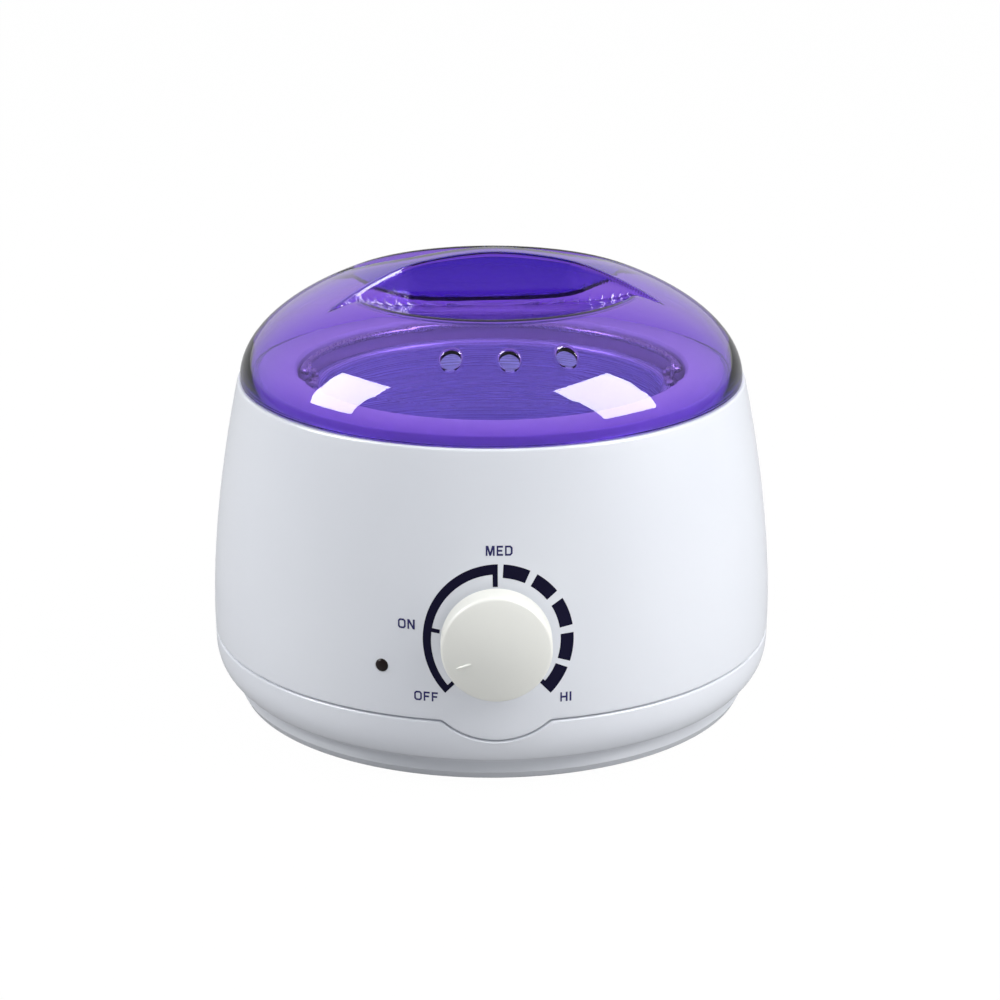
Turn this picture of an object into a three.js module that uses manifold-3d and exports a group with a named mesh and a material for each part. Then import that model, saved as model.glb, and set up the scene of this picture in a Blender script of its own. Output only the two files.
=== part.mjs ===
import * as THREE from 'three';
import { mergeVertices } from 'three/addons/utils/BufferGeometryUtils.js';
import Module from 'manifold-3d';

// A salon wax warmer: a round plastic body with a heated well, a lift-out aluminium
// pot with a wire bail, a domed lid with a finger bridge, and a dial thermostat.
// Millimetres, +Z up, the dial faces -Y. Every part is drawn about the body's own
// vertical axis, with the floor at zero, and the whole is then set on its origin.

const wasm = await Module();
wasm.setup();

// How round shapes are divided
const largeRoundSteps = 48;
const mediumRoundSteps = 32;
const smallRoundSteps = 12;
const hexagonSteps = 6;
const wireSides = 8;
const leadSides = 6;
const leadSteps = 20;
const bailSteps = 36;

// Fits shared by all parts
const clearance = 0.3;
const overrun = 1;

// Body outline: radii are set inward from the belly, heights up from the floor
const bodyRadius = 93;
const seamHeight = 24.5;
const bellyRise = 7;
const rimHeight = 109.2;
const seamInset = 0.1;
const rimInset = 9.8;
const rimRounding = 0.9;
const seamGap = 0.6;
const shellWall = 2.5;
const shellCurvePower = 1.75;
const shellHeightShares = [0, 0.16, 0.34, 0.52, 0.7, 0.86, 1];

// Base outline
const creaseInset = 6.8;
const creaseHeight = 8.4;
const skirtTaper = 2.1;
const skirtBottom = 2;
const floorUnderside = 5;
const floorThickness = 2.5;
const bandHeightShares = [0.14, 0.32, 0.52, 0.76, 1];
const locatingLipHeight = 4;
const locatingLipWall = 1.8;
const locatingLipDepth = 7;

// The tongue of the shell that dips into the base below the dial
const tongueHalfWidth = 16.3;
const tongueDepth = 6;

// Deck, collar and ledge around the well, under the lid
const lidPlay = 0.7;
const spigotHeight = 2.2;
const deckRise = 3;
const deckEdgeRounding = 1;
const deckWidth = 19.6;
const ledgeWidth = 2.6;
const wellDrop = 6.2;

// Heated well
const wellRise = 30.5;
const wellWall = 1.2;
const wellFloorThickness = 1.5;
const wellFlangeWidth = 4;
const wellFlangeThickness = 1.5;
const wellCornerRadius = 5;

// Lift-out pot
const potGap = 1.6;
const potWall = 1.2;
const potFloorThickness = 1.5;
const potTaper = 1.4;
const potCornerRadius = 6.5;
const potRimWidth = 3.8;
const potRimThickness = 2.4;

// Bail, its ears and rivets
const bailWireRadius = 1.1;
const bailGap = 0.5;
const bailEndLength = 4.4;
const earThickness = 1.1;
const earFootThickness = 1;
const earFootWidth = 3;
const earTabHalfWidth = 3.2;
const earTabHeight = 6;
const pivotAboveRim = 4.1;
const rivetRadius = 0.9;
const rivetHeadRadius = 1.5;
const rivetHeadHeight = 0.8;
const rivetOffset = 6;
const rivetEdge = 2.6;
const rivetDepth = 1.3;

// Lid
const lidInset = 0.8;
const lidHeight = 41.6;
const lidWall = 2.2;
const lidTurn = THREE.MathUtils.degToRad(3.9);
const domeRadiusPower = 1.62;
const domeHeightPower = 2;
const domeAngleShares = [0, 0.1, 0.2, 0.31, 0.42, 0.53, 0.64, 0.75, 0.87, 1];
const dishDepth = 17.2;
const dishInset = 32.9;
const dishPower = 3.5;
const dishRadiusShares = [0, 0.3, 0.5, 0.66, 0.8, 1];
const bridgeHalfWidth = 5.6;
const bridgeCornerInset = 23.5;
const bridgeFlareTurn = THREE.MathUtils.degToRad(24.2);
const recessOverrun = 9.5;
const recessArcSteps = 20;
const ventRadius = 3.2;
const ventInset = 16.4;
const ventSpacing = THREE.MathUtils.degToRad(15.5);
const ventCount = 3;

// Dial knob and its spindle
const dialRise = 27.2;
const knobBaseRadius = 17.05;
const knobTaper = 0.8;
const knobDepth = 11;
const knobEdgeRounding = 1.6;
const knobSocketDepth = 8;
const pointerTurn = THREE.MathUtils.degToRad(118);
const pointerStart = 8;
const pointerLength = 4.6;
const pointerWidth = 1;
const pointerHeight = 0.5;
const spindleRadius = 2.5;
const spindleBoreMargin = 2.5;

// Thermostat behind the dial
const bracketBossLength = 2.8;
const bracketThickness = 1.2;
const bracketEdge = 4.5;
const bracketHalfHeight = 8.5;
const bracketScrewOffset = 20;
const bracketBossRadius = 4;
const bracketScrewRadius = 1.5;
const bracketScrewHeadRadius = 2.9;
const bracketScrewHeadHeight = 1.6;
const bracketScrewGrip = 3.8;
const thermostatHalfWidth = 11;
const thermostatHalfHeight = 10.5;
const thermostatGap = 2.1;
const thermostatShaftDepth = 7;
const bushRadius = 4;
const bushLength = 4.2;
const nutRadius = 6.6;
const nutThickness = 1.9;
const sensorHalfWidth = 6;
const sensorHeight = 8;
const sensorRise = 1;

// Heater band, its strap and the insulation around the well
const bandThickness = 1.5;
const bandRise = 10;
const bandHeight = 30;
const strapThickness = 0.8;
const strapRise = 12;
const strapHeight = 6;
const strapEarGap = 3;
const strapEarLength = 7.4;
const strapEarThickness = 1.2;
const strapScrewRadius = 1.4;
const strapScrewHeadRadius = 2.6;
const strapScrewHeadHeight = 1.8;
const strapNutRadius = 2.9;
const strapNutThickness = 2.2;
const insulationThickness = 4.2;
const insulationGap = 0.5;
const insulationRise = 4;
const insulationDrop = 6;
const windowMargin = 2;

// Overheat fuse under the well
const fuseRadius = 2;
const fuseLength = 13;
const fuseForward = 15;
const clipThickness = 0.9;
const clipWidth = 6;

// Indicator lamp, below and to the left of the dial
const lampTurn = THREE.MathUtils.degToRad(22.2);
const lampDrop = 10.7;
const lensRadius = 2;
const lensProud = 0.7;
const lensFlangeRadius = 2.9;
const lensFlangeThickness = 1.2;
const lensTail = 7;
const holderWall = 1.9;
const holderFloor = 1.6;
const holderLength = 11;

// Case screws, their bosses and the feet
const caseScrewTurns = [30, 150, 210, 330].map(THREE.MathUtils.degToRad);
const caseScrewRadius = 1.8;
const caseScrewHeadRadius = 3.8;
const caseScrewHeadHeight = 2.4;
const postRadius = 4.8;
const postHeight = 6.5;
const bossRadius = 4.5;
const bossHeight = 30;
const bossMargin = 1.3;
const ribThickness = 2.5;
const pilotDepth = 11;
const footTurns = [45, 135, 225, 315].map(THREE.MathUtils.degToRad);
const footInset = 8;
const footRadius = 9;
const footRounding = 0.8;
const footStemRadius = 3;
const footBarbRadius = 4.1;
const footBarbHeight = 1.8;

// Mains entry and terminals
const glandRadius = 4.6;
const glandFlangeRadius = 6.2;
const glandFlangeThickness = 1.6;
const glandLength = 15.8;
const glandProud = 2.3;
const cordSlotWidth = 6.2;
const cordSlotHeight = 3.7;
const terminalWidth = 34;
const terminalDepth = 15;
const terminalHeight = 13;
const terminalSetback = 4.5;
const terminalPitch = 11;
const terminalCount = 3;
const terminalScrewRadius = 2.1;
const terminalScrewHeight = 2.4;
const terminalScrewSink = 0.8;
const terminalWellDepth = 4;
const leadRadius = 1.2;
const leadRise = 4.5;
const leadStraight = 6;

// Sizes that follow from the values above
const bellyHeight = seamHeight + bellyRise;
const seamRadius = bodyRadius - seamInset;
const rimRadius = bodyRadius - rimInset;
const creaseRadius = bodyRadius - creaseInset;
const skirtRadius = creaseRadius - skirtTaper;
const floorTop = floorUnderside + floorThickness;
const shellBottom = seamHeight + seamGap / 2;
const baseTop = seamHeight - seamGap / 2;
const deckHeight = rimHeight + deckRise;
const collarRadius = rimRadius - deckWidth;
const ledgeRadius = collarRadius - ledgeWidth;
const lidRadius = rimRadius - lidInset;
const lidBottom = rimHeight + clearance;
const lidInnerRadius = lidRadius - lidWall;
const spigotRadius = lidInnerRadius - lidPlay;
const flangeTop = rimHeight - wellDrop;
const flangeRadius = collarRadius - clearance;
const ledgeTop = flangeTop - wellFlangeThickness - clearance;
const wellRadius = flangeRadius - wellFlangeWidth;
const wellOuterRadius = wellRadius + wellWall;
const wellFloor = floorTop + wellRise;
const wellUnderside = wellFloor - wellFloorThickness;
const potMouthRadius = wellRadius - potGap - potWall;
const potRimRadius = potMouthRadius + potRimWidth;
const potBottom = wellFloor + clearance;
const potRimBottom = flangeTop + clearance;
const potRimTop = potRimBottom + potRimThickness;
const bailRadius = potRimRadius + bailGap + bailWireRadius;
const pivotHeight = potRimTop + pivotAboveRim;
const dishFloor = lidBottom + lidHeight - dishDepth;
const dishRadius = lidRadius - dishInset;
const bridgeHalfLength = dishRadius - bridgeCornerInset;
const recessReach = dishRadius + recessOverrun;
const ventCircle = lidRadius - ventInset;
const dialHeight = seamHeight + dialRise;
const knobFaceRadius = knobBaseRadius - knobTaper;
const spindleBoreRadius = spindleRadius + spindleBoreMargin;
const bandRadius = wellOuterRadius + clearance;
const bandBottom = wellFloor + bandRise;
const sensorBottom = bandBottom + sensorRise;
const strapRadius = bandRadius + bandThickness + clearance;
const strapBottom = bandBottom + strapRise;
const insulationRadius = strapRadius + strapThickness + insulationGap;
const insulationOuterRadius = insulationRadius + insulationThickness;
const caseScrewCircle = insulationOuterRadius + bossMargin + bossRadius;
const footCircle = caseScrewCircle - footInset;
const lampHeight = dialHeight - lampDrop;
const fuseHeight = wellUnderside - clearance - fuseRadius;
const glandHeight = (floorTop + baseTop) / 2;
const terminalBack = wellOuterRadius - terminalSetback;
const terminalBottom = floorTop + clearance;
const terminalTop = terminalBottom + terminalHeight;

// Boolean solids and how they are made

function solid(geometry) {
  const bare = geometry.clone();
  bare.deleteAttribute('normal');
  bare.deleteAttribute('uv');
  const merged = mergeVertices(bare);
  const corners = merged.index.array;
  const triVerts = [];
  for (let i = 0; i < corners.length; i += 3) {
    const [a, b, c] = corners.slice(i, i + 3);
    if (a !== b && b !== c && c !== a) triVerts.push(a, b, c);
  }
  return new wasm.Manifold(new wasm.Mesh({
    numProp: 3,
    vertProperties: merged.attributes.position.array,
    triVerts: Uint32Array.from(triVerts),
  }));
}

function surfaceOf(shape) {
  const mesh = shape.getMesh();
  const geometry = new THREE.BufferGeometry();
  geometry.setAttribute('position', new THREE.BufferAttribute(mesh.vertProperties, mesh.numProp));
  geometry.setIndex(new THREE.BufferAttribute(mesh.triVerts, 1));
  geometry.computeVertexNormals();
  return geometry;
}

// A turned solid from a profile of [radius, height] points, about the Z axis
function turned(profile, steps) {
  const points = profile.map(([radius, height]) => new THREE.Vector2(radius, height));
  const geometry = new THREE.LatheGeometry(points, steps);
  geometry.rotateX(Math.PI / 2);
  return solid(geometry);
}

function disc(radius, low, high, steps) {
  return turned([[0, low], [radius, low], [radius, high], [0, high]], steps);
}

function ring(inner, outer, low, high, steps) {
  return turned([[inner, low], [outer, low], [outer, high], [inner, high], [inner, low]], steps);
}

function block(x, y, z) {
  const geometry = new THREE.BoxGeometry(x[1] - x[0], y[1] - y[0], z[1] - z[0]);
  geometry.translate((x[0] + x[1]) / 2, (y[0] + y[1]) / 2, (z[0] + z[1]) / 2);
  return solid(geometry);
}

// A flat outline of [x, y] points, raised from one height to another
function raised(outline, low, high) {
  const shape = new THREE.Shape(outline.map(([x, y]) => new THREE.Vector2(x, y)));
  const geometry = new THREE.ExtrudeGeometry(shape, { depth: high - low, bevelEnabled: false });
  geometry.translate(0, 0, low);
  return solid(geometry);
}

function tube(curve, radius, sides, steps) {
  const section = new THREE.Shape();
  section.absarc(0, 0, radius, 0, 2 * Math.PI);
  return solid(new THREE.ExtrudeGeometry(section, {
    curveSegments: sides / 2,
    extrudePath: curve,
    steps,
  }));
}

// Movers: a solid drawn along Z is laid along -Y, so its Z becomes the distance
// towards the dial side and its Y becomes height
function towardsDial(shape, height) {
  const lay = new THREE.Matrix4().makeRotationX(Math.PI / 2);
  return moved(shape, lay.premultiply(new THREE.Matrix4().makeTranslation(0, 0, height)));
}

function moved(shape, matrix) {
  return shape.transform(matrix.elements);
}

function shifted(shape, x, y, z) {
  return moved(shape, new THREE.Matrix4().makeTranslation(x, y, z));
}

function turnedAbout(shape, angle) {
  return moved(shape, new THREE.Matrix4().makeRotationZ(angle));
}

function joined(shapes) {
  return shapes.reduce((whole, shape) => whole.add(shape));
}

function cut(shape, cutters) {
  return cutters.reduce((rest, cutter) => rest.subtract(cutter), shape);
}

function placesOnCircle(radius, turns) {
  return turns.map((turn) => [radius * Math.cos(turn), radius * Math.sin(turn)]);
}

// The body's outline: radius at a height

function shellRadiusAt(height) {
  if (height < bellyHeight) {
    const belowShare = (bellyHeight - height) / (bellyHeight - seamHeight);
    return bodyRadius - (bodyRadius - seamRadius) * belowShare ** 2;
  }
  const riseShare = Math.min(1, (height - bellyHeight) / (rimHeight - bellyHeight));
  return bodyRadius - (bodyRadius - rimRadius) * riseShare ** shellCurvePower;
}

function bandRadiusAt(height) {
  const riseShare = Math.max(0, (height - creaseHeight) / (seamHeight - creaseHeight));
  return creaseRadius + (seamRadius - creaseRadius) * Math.sin((Math.min(1, riseShare) * Math.PI) / 2);
}

function inward([radius, height]) {
  return [radius - shellWall, height];
}

// The upper shell: side wall, deck, collar and the ledge that carries the well
function shellProfile() {
  const side = shellHeightShares.map((share) => {
    const height = bellyHeight + (rimHeight - rimRounding - bellyHeight) * share;
    return [shellRadiusAt(height), height];
  });
  const foot = [shellRadiusAt(shellBottom), shellBottom];
  const outer = [foot, ...side];
  const inner = outer.slice(0, -1).map(inward).reverse();
  const ledgeUnderside = ledgeTop - shellWall;
  const collarOuter = collarRadius + shellWall;
  return [
    inward(foot),
    ...outer,
    [rimRadius - rimRounding, rimHeight],
    [spigotRadius, rimHeight],
    [spigotRadius, rimHeight + spigotHeight],
    [collarRadius + 2 * deckEdgeRounding, deckHeight],
    [collarRadius + deckEdgeRounding / 2, deckHeight - deckEdgeRounding / 3],
    [collarRadius, deckHeight - deckEdgeRounding],
    [collarRadius, ledgeTop],
    [ledgeRadius, ledgeTop],
    [ledgeRadius, ledgeUnderside],
    [collarOuter, ledgeUnderside],
    [collarOuter, deckHeight - shellWall - deckEdgeRounding],
    [spigotRadius - shellWall, rimHeight + spigotHeight - shellWall],
    [spigotRadius - shellWall, rimHeight - shellWall],
    [shellRadiusAt(rimHeight - shellWall) - shellWall, rimHeight - shellWall],
    ...inner,
  ];
}

// The circle that rounds the dip of the seam below the dial, grown by a margin
function tongueDisc(margin) {
  const radius = (tongueHalfWidth ** 2 + tongueDepth ** 2) / (2 * tongueDepth);
  const centre = seamHeight - tongueDepth + radius;
  const near = seamRadius - shellWall - tongueDepth;
  return towardsDial(disc(radius + margin, near, bodyRadius + overrun, largeRoundSteps), centre);
}

function shellTongue() {
  const heights = [seamHeight - 2 * tongueDepth, seamHeight - tongueDepth, seamHeight];
  const low = heights.map((height) => [bandRadiusAt(height), height]);
  const top = [shellRadiusAt(bellyHeight), bellyHeight];
  const outer = [...low, [shellRadiusAt(shellBottom), shellBottom], top];
  const inner = outer.map(inward).reverse();
  const skin = turned([inward(outer[0]), ...outer, ...inner], largeRoundSteps);
  return skin.intersect(tongueDisc(0));
}

function caseBoss([x, y]) {
  const bottom = floorTop + postHeight + clearance;
  const turn = Math.atan2(y, x);
  const wall = shellRadiusAt(bossHeight) - shellWall / 2;
  const post = shifted(disc(bossRadius, bottom, bottom + bossHeight, smallRoundSteps), x, y, 0);
  const rib = block(
    [caseScrewCircle, wall],
    [-ribThickness / 2, ribThickness / 2],
    [shellBottom + locatingLipHeight + clearance, bottom + bossHeight],
  );
  return post.add(turnedAbout(rib, turn));
}

function casePilot([x, y]) {
  const bottom = floorTop + postHeight;
  const top = bottom + clearance + pilotDepth;
  return shifted(disc(caseScrewRadius + clearance, bottom, top, smallRoundSteps), x, y, 0);
}

// How far the inner face of the wall lies in front of the axis, to one side of it
function wallInsideAt(height, sideways) {
  return Math.sqrt((shellRadiusAt(height) - shellWall) ** 2 - sideways ** 2);
}

function bracketFace() {
  return wallInsideAt(dialHeight, bracketScrewOffset) - bracketBossLength - clearance;
}

function bracketBoss(side) {
  const near = bracketFace() + clearance;
  const far = near + bracketBossLength + shellWall / 2;
  const boss = disc(bracketBossRadius, near, far, smallRoundSteps);
  return towardsDial(shifted(boss, side * bracketScrewOffset, 0, 0), dialHeight);
}

function bracketPilot(side) {
  const pilot = disc(
    bracketScrewRadius + clearance,
    bracketFace(),
    bracketFace() + bracketScrewGrip + clearance,
    smallRoundSteps,
  );
  return towardsDial(shifted(pilot, side * bracketScrewOffset, 0, 0), dialHeight);
}

function lampBore() {
  const bore = disc(lensRadius + clearance, caseScrewCircle, bodyRadius + overrun, smallRoundSteps);
  return turnedAbout(towardsDial(bore, lampHeight), -lampTurn);
}

function upperShell() {
  const screws = placesOnCircle(caseScrewCircle, caseScrewTurns);
  const dialBore = disc(spindleBoreRadius, bracketFace(), bodyRadius + overrun, smallRoundSteps);
  const body = joined([
    turned(shellProfile(), largeRoundSteps),
    shellTongue(),
    ...screws.map(caseBoss),
    bracketBoss(-1),
    bracketBoss(1),
  ]);
  return cut(body, [
    ...screws.map(casePilot),
    bracketPilot(-1),
    bracketPilot(1),
    towardsDial(dialBore, dialHeight),
    lampBore(),
  ]);
}

// The base pan: skirt, bulging band, floor and the lip that locates the shell
function baseProfile() {
  const band = bandHeightShares.map((share) => {
    const height = creaseHeight + (baseTop - creaseHeight) * share;
    return [bandRadiusAt(height), height];
  });
  const lipOuter = seamRadius - shellWall - clearance;
  const lipInner = lipOuter - locatingLipWall;
  const inner = band.slice(0, 3).map(inward).reverse();
  return [
    [0, floorUnderside],
    [skirtRadius - shellWall, floorUnderside],
    [skirtRadius - shellWall, skirtBottom],
    [skirtRadius, skirtBottom],
    [creaseRadius, creaseHeight],
    ...band,
    [lipOuter, baseTop],
    [lipOuter, shellBottom + locatingLipHeight],
    [lipInner, shellBottom + locatingLipHeight],
    [lipInner, baseTop - locatingLipDepth],
    ...inner,
    [creaseRadius - shellWall, floorTop],
    [0, floorTop],
  ];
}

function glandBore() {
  const bore = disc(glandRadius + clearance, caseScrewCircle, bodyRadius + overrun, smallRoundSteps);
  return turnedAbout(towardsDial(bore, glandHeight), Math.PI);
}

function basePan() {
  const screws = placesOnCircle(caseScrewCircle, caseScrewTurns);
  const feet = placesOnCircle(footCircle, footTurns);
  const post = disc(postRadius, floorUnderside, floorTop + postHeight, smallRoundSteps);
  const screwHole = disc(
    caseScrewRadius + clearance,
    floorUnderside - overrun,
    floorTop + postHeight + overrun,
    smallRoundSteps,
  );
  const stemHole = disc(footStemRadius + clearance, skirtBottom, floorTop + overrun, smallRoundSteps);
  const body = joined([
    turned(baseProfile(), largeRoundSteps),
    ...screws.map(([x, y]) => shifted(post, x, y, 0)),
  ]);
  return cut(body, [
    ...screws.map(([x, y]) => shifted(screwHole, x, y, 0)),
    ...feet.map(([x, y]) => shifted(stemHole, x, y, 0)),
    tongueDisc(seamGap),
    glandBore(),
  ]);
}

function foot() {
  const top = floorUnderside - clearance;
  const barbBottom = floorTop + clearance;
  return turned([
    [0, 0],
    [footRadius - footRounding, 0],
    [footRadius, footRounding],
    [footRadius - footRounding, top],
    [footStemRadius, top],
    [footStemRadius, barbBottom],
    [footBarbRadius, barbBottom],
    [footStemRadius, barbBottom + footBarbHeight],
    [0, barbBottom + footBarbHeight],
  ], smallRoundSteps);
}

function caseScrew() {
  const headTop = floorUnderside - clearance;
  const headBottom = headTop - caseScrewHeadHeight;
  const tip = floorTop + postHeight + pilotDepth;
  return turned([
    [0, headBottom],
    [caseScrewHeadRadius / 2, headBottom],
    [caseScrewHeadRadius, headTop - caseScrewHeadHeight / 2],
    [caseScrewHeadRadius, headTop],
    [caseScrewRadius, headTop],
    [caseScrewRadius, tip - caseScrewRadius],
    [0, tip],
  ], smallRoundSteps);
}

// The corner between a round floor and wall, as points up the corner
function corner(wallRadius, floorHeight, radius) {
  const cornerShares = [0, 1 / 3, 2 / 3, 1];
  return cornerShares.map((share) => {
    const angle = (share * Math.PI) / 2;
    return [
      wallRadius - radius + radius * Math.sin(angle),
      floorHeight + radius - radius * Math.cos(angle),
    ];
  });
}

function heaterPan() {
  return turned([
    [0, wellUnderside],
    ...corner(wellOuterRadius, wellUnderside, wellCornerRadius + wellWall),
    [wellOuterRadius, flangeTop - wellFlangeThickness],
    [flangeRadius, flangeTop - wellFlangeThickness],
    [flangeRadius, flangeTop],
    [wellRadius, flangeTop],
    ...corner(wellRadius, wellFloor, wellCornerRadius).reverse(),
    [0, wellFloor],
  ], mediumRoundSteps);
}

function innerPot() {
  const outerTop = potMouthRadius + potWall;
  const outerBottom = outerTop - potTaper;
  const innerBottom = potMouthRadius - potTaper;
  const bead = potRimThickness / 2;
  const body = turned([
    [0, potBottom],
    ...corner(outerBottom, potBottom, potCornerRadius),
    [outerTop, potRimBottom],
    [potRimRadius - bead / 2, potRimBottom],
    [potRimRadius, potRimBottom + bead / 2],
    [potRimRadius, potRimTop - bead / 2],
    [potRimRadius - bead / 2, potRimTop],
    [outerTop, potRimTop],
    [potMouthRadius, potRimTop - bead],
    ...corner(innerBottom, potBottom + potFloorThickness, potCornerRadius - potWall).reverse(),
    [0, potBottom + potFloorThickness],
  ], mediumRoundSteps);
  return cut(body, earRivetPlaces().map(([x, y]) => shifted(rivetBore(), x, y, 0)));
}

// Ears stand on the pot's rim at each end of the bail
function earSpan() {
  const outer = potRimRadius - clearance;
  return [outer - earFootWidth, outer];
}

function earRivetPlaces() {
  const [near, far] = earSpan();
  const middle = (near + far) / 2;
  return [-1, 1].flatMap((side) => [-1, 1].map((end) => [side * middle, end * rivetOffset]));
}

function rivetBore() {
  const low = potRimTop - rivetDepth - clearance;
  const high = potRimTop + 2 * clearance + earFootThickness + overrun;
  return disc(rivetRadius + clearance, low, high, smallRoundSteps);
}

function bailEar(side) {
  const [near, far] = earSpan();
  const bottom = potRimTop + clearance;
  const halfLength = rivetOffset + rivetEdge;
  const footing = block([near, far], [-halfLength, halfLength], [bottom, bottom + earFootThickness]);
  const tab = block(
    [far - earThickness, far],
    [-earTabHalfWidth, earTabHalfWidth],
    [bottom, bottom + earFootThickness + earTabHeight],
  );
  const pivotBore = disc(bailWireRadius + clearance, near, bailRadius, smallRoundSteps);
  const eye = turnedAbout(towardsDial(pivotBore, pivotHeight), Math.PI / 2);
  const bores = [-1, 1].map((end) => shifted(rivetBore(), (near + far) / 2, end * rivetOffset, 0));
  return turnedAbout(cut(footing.add(tab), [eye, ...bores]), side < 0 ? Math.PI : 0);
}

function earRivet() {
  const headBottom = potRimTop + 2 * clearance + earFootThickness;
  return turned([
    [0, potRimTop - rivetDepth],
    [rivetRadius, potRimTop - rivetDepth],
    [rivetRadius, headBottom],
    [rivetHeadRadius, headBottom],
    [rivetRadius, headBottom + rivetHeadHeight],
    [0, headBottom + rivetHeadHeight],
  ], smallRoundSteps);
}

// The bail lies down behind the pot's mouth, its ends turned in through the ears
function bailWire() {
  const arc = new THREE.EllipseCurve(0, 0, bailRadius, bailRadius, 0, Math.PI);
  const points = arc.getPoints(bailSteps).map(({ x, y }) => new THREE.Vector3(x, y, pivotHeight));
  const bow = tube(new THREE.CatmullRomCurve3(points), bailWireRadius, wireSides, bailSteps);
  const knee = solid(new THREE.SphereGeometry(bailWireRadius, wireSides, wireSides));
  const pin = disc(bailWireRadius, bailRadius - bailEndLength, bailRadius, wireSides);
  const end = shifted(knee, bailRadius, 0, pivotHeight).add(
    turnedAbout(towardsDial(pin, pivotHeight), Math.PI / 2),
  );
  return joined([bow, end, turnedAbout(end, Math.PI)]);
}

// The lid: a thin dome, dished at the top on both sides of a finger bridge
function domeProfile(radius, height) {
  const arc = domeAngleShares.map((share) => {
    const angle = (share * Math.PI) / 2;
    return [
      radius * Math.cos(angle) ** (2 / domeRadiusPower),
      lidBottom + height * Math.sin(angle) ** (2 / domeHeightPower),
    ];
  });
  arc[arc.length - 1] = [0, lidBottom + height];
  return arc;
}

// The dish is a shallow bowl whose lip lies on the dome, dropped for its underside
function dishSpace(drop) {
  const domeShare = (1 - (dishRadius / lidRadius) ** domeRadiusPower) ** (1 / domeHeightPower);
  const rise = lidBottom + lidHeight * domeShare - dishFloor;
  const dishReach = recessReach + lidWall + overrun;
  const dish = dishRadiusShares.map((share) => {
    const radius = dishReach * share;
    return [radius, dishFloor - drop + rise * (radius / dishRadius) ** dishPower];
  });
  const top = lidBottom + lidHeight + overrun;
  return turned([...dish, [dishReach, top], [0, top]], largeRoundSteps);
}

function recessOutline(margin) {
  const reach = recessReach + margin;
  const flare = bridgeFlareTurn - margin / recessReach;
  const shares = Array.from({ length: recessArcSteps + 1 }, (_, i) => i / recessArcSteps);
  const front = shares.map((share) => {
    const angle = -flare - share * (Math.PI - 2 * flare);
    return [reach * Math.cos(angle), reach * Math.sin(angle)];
  });
  return [
    [bridgeHalfLength + margin, -bridgeHalfWidth + margin],
    ...front,
    [-bridgeHalfLength - margin, -bridgeHalfWidth + margin],
  ].reverse();
}

function recess(margin) {
  const low = lidBottom;
  const high = lidBottom + lidHeight + overrun;
  const space = raised(recessOutline(margin), low, high).intersect(dishSpace(margin));
  return space.add(turnedAbout(space, Math.PI));
}

function lid() {
  const outer = turned([[0, lidBottom], ...domeProfile(lidRadius, lidHeight)], largeRoundSteps);
  const innerProfile = domeProfile(lidInnerRadius, lidHeight - lidWall);
  const hollow = turned([
    [0, lidBottom - overrun],
    [lidInnerRadius, lidBottom - overrun],
    ...innerProfile,
  ], largeRoundSteps);
  const vent = disc(ventRadius, lidBottom, lidBottom + lidHeight, smallRoundSteps);
  const middle = (ventCount - 1) / 2;
  const vents = Array.from({ length: ventCount }, (_, i) => (
    turnedAbout(shifted(vent, 0, -ventCircle, 0), (i - middle) * ventSpacing)
  ));
  const tubs = recess(lidWall).intersect(outer);
  return cut(outer.subtract(hollow).add(tubs), [recess(0), ...vents]);
}

// Parts on the dial's axis are drawn along Z and laid down by towardsDial
function knobBack() {
  return shellRadiusAt(dialHeight - knobBaseRadius) + clearance;
}

function controlKnob() {
  const back = knobBack();
  const face = back + knobDepth;
  const body = turned([
    [0, back + knobSocketDepth],
    [spindleRadius + clearance, back + knobSocketDepth],
    [spindleRadius + clearance, back],
    [knobBaseRadius, back],
    [knobFaceRadius + knobEdgeRounding / 4, face - knobEdgeRounding],
    [knobFaceRadius - knobEdgeRounding / 4, face - knobEdgeRounding / 3],
    [knobFaceRadius - knobEdgeRounding, face],
    [0, face],
  ], mediumRoundSteps);
  const pointer = block(
    [-pointerWidth / 2, pointerWidth / 2],
    [pointerStart, pointerStart + pointerLength],
    [face - overrun, face + pointerHeight],
  );
  return towardsDial(body.add(turnedAbout(pointer, pointerTurn)), dialHeight);
}

function thermostatBack() {
  return insulationOuterRadius + thermostatGap;
}

function thermostatFront() {
  return bracketFace() - bracketThickness - clearance;
}

function thermostatSpindle() {
  const low = thermostatBack() + thermostatShaftDepth;
  const high = knobBack() + knobSocketDepth - clearance;
  return towardsDial(disc(spindleRadius, low, high, smallRoundSteps), dialHeight);
}

function thermostatBody() {
  const back = thermostatBack();
  const front = thermostatFront();
  const can = block(
    [-thermostatHalfWidth, thermostatHalfWidth],
    [-thermostatHalfHeight, thermostatHalfHeight],
    [back, front],
  );
  const bush = disc(bushRadius, front - overrun, front + bushLength, smallRoundSteps);
  const bore = disc(
    spindleRadius + clearance,
    back + thermostatShaftDepth - clearance,
    front + bushLength + overrun,
    smallRoundSteps,
  );
  return towardsDial(can.add(bush).subtract(bore), dialHeight);
}

function thermostatBracket() {
  const face = bracketFace();
  const back = face - bracketThickness;
  const halfWidth = bracketScrewOffset + bracketEdge;
  const plate = block(
    [-halfWidth, halfWidth],
    [-bracketHalfHeight, bracketHalfHeight],
    [back, face],
  );
  const hole = (radius) => disc(radius + clearance, back - overrun, face + overrun, smallRoundSteps);
  const bushHole = hole(bushRadius);
  const screwHole = hole(bracketScrewRadius);
  const holes = [-1, 1].map((side) => shifted(screwHole, side * bracketScrewOffset, 0, 0));
  return towardsDial(cut(plate, [bushHole, ...holes]), dialHeight);
}

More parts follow.
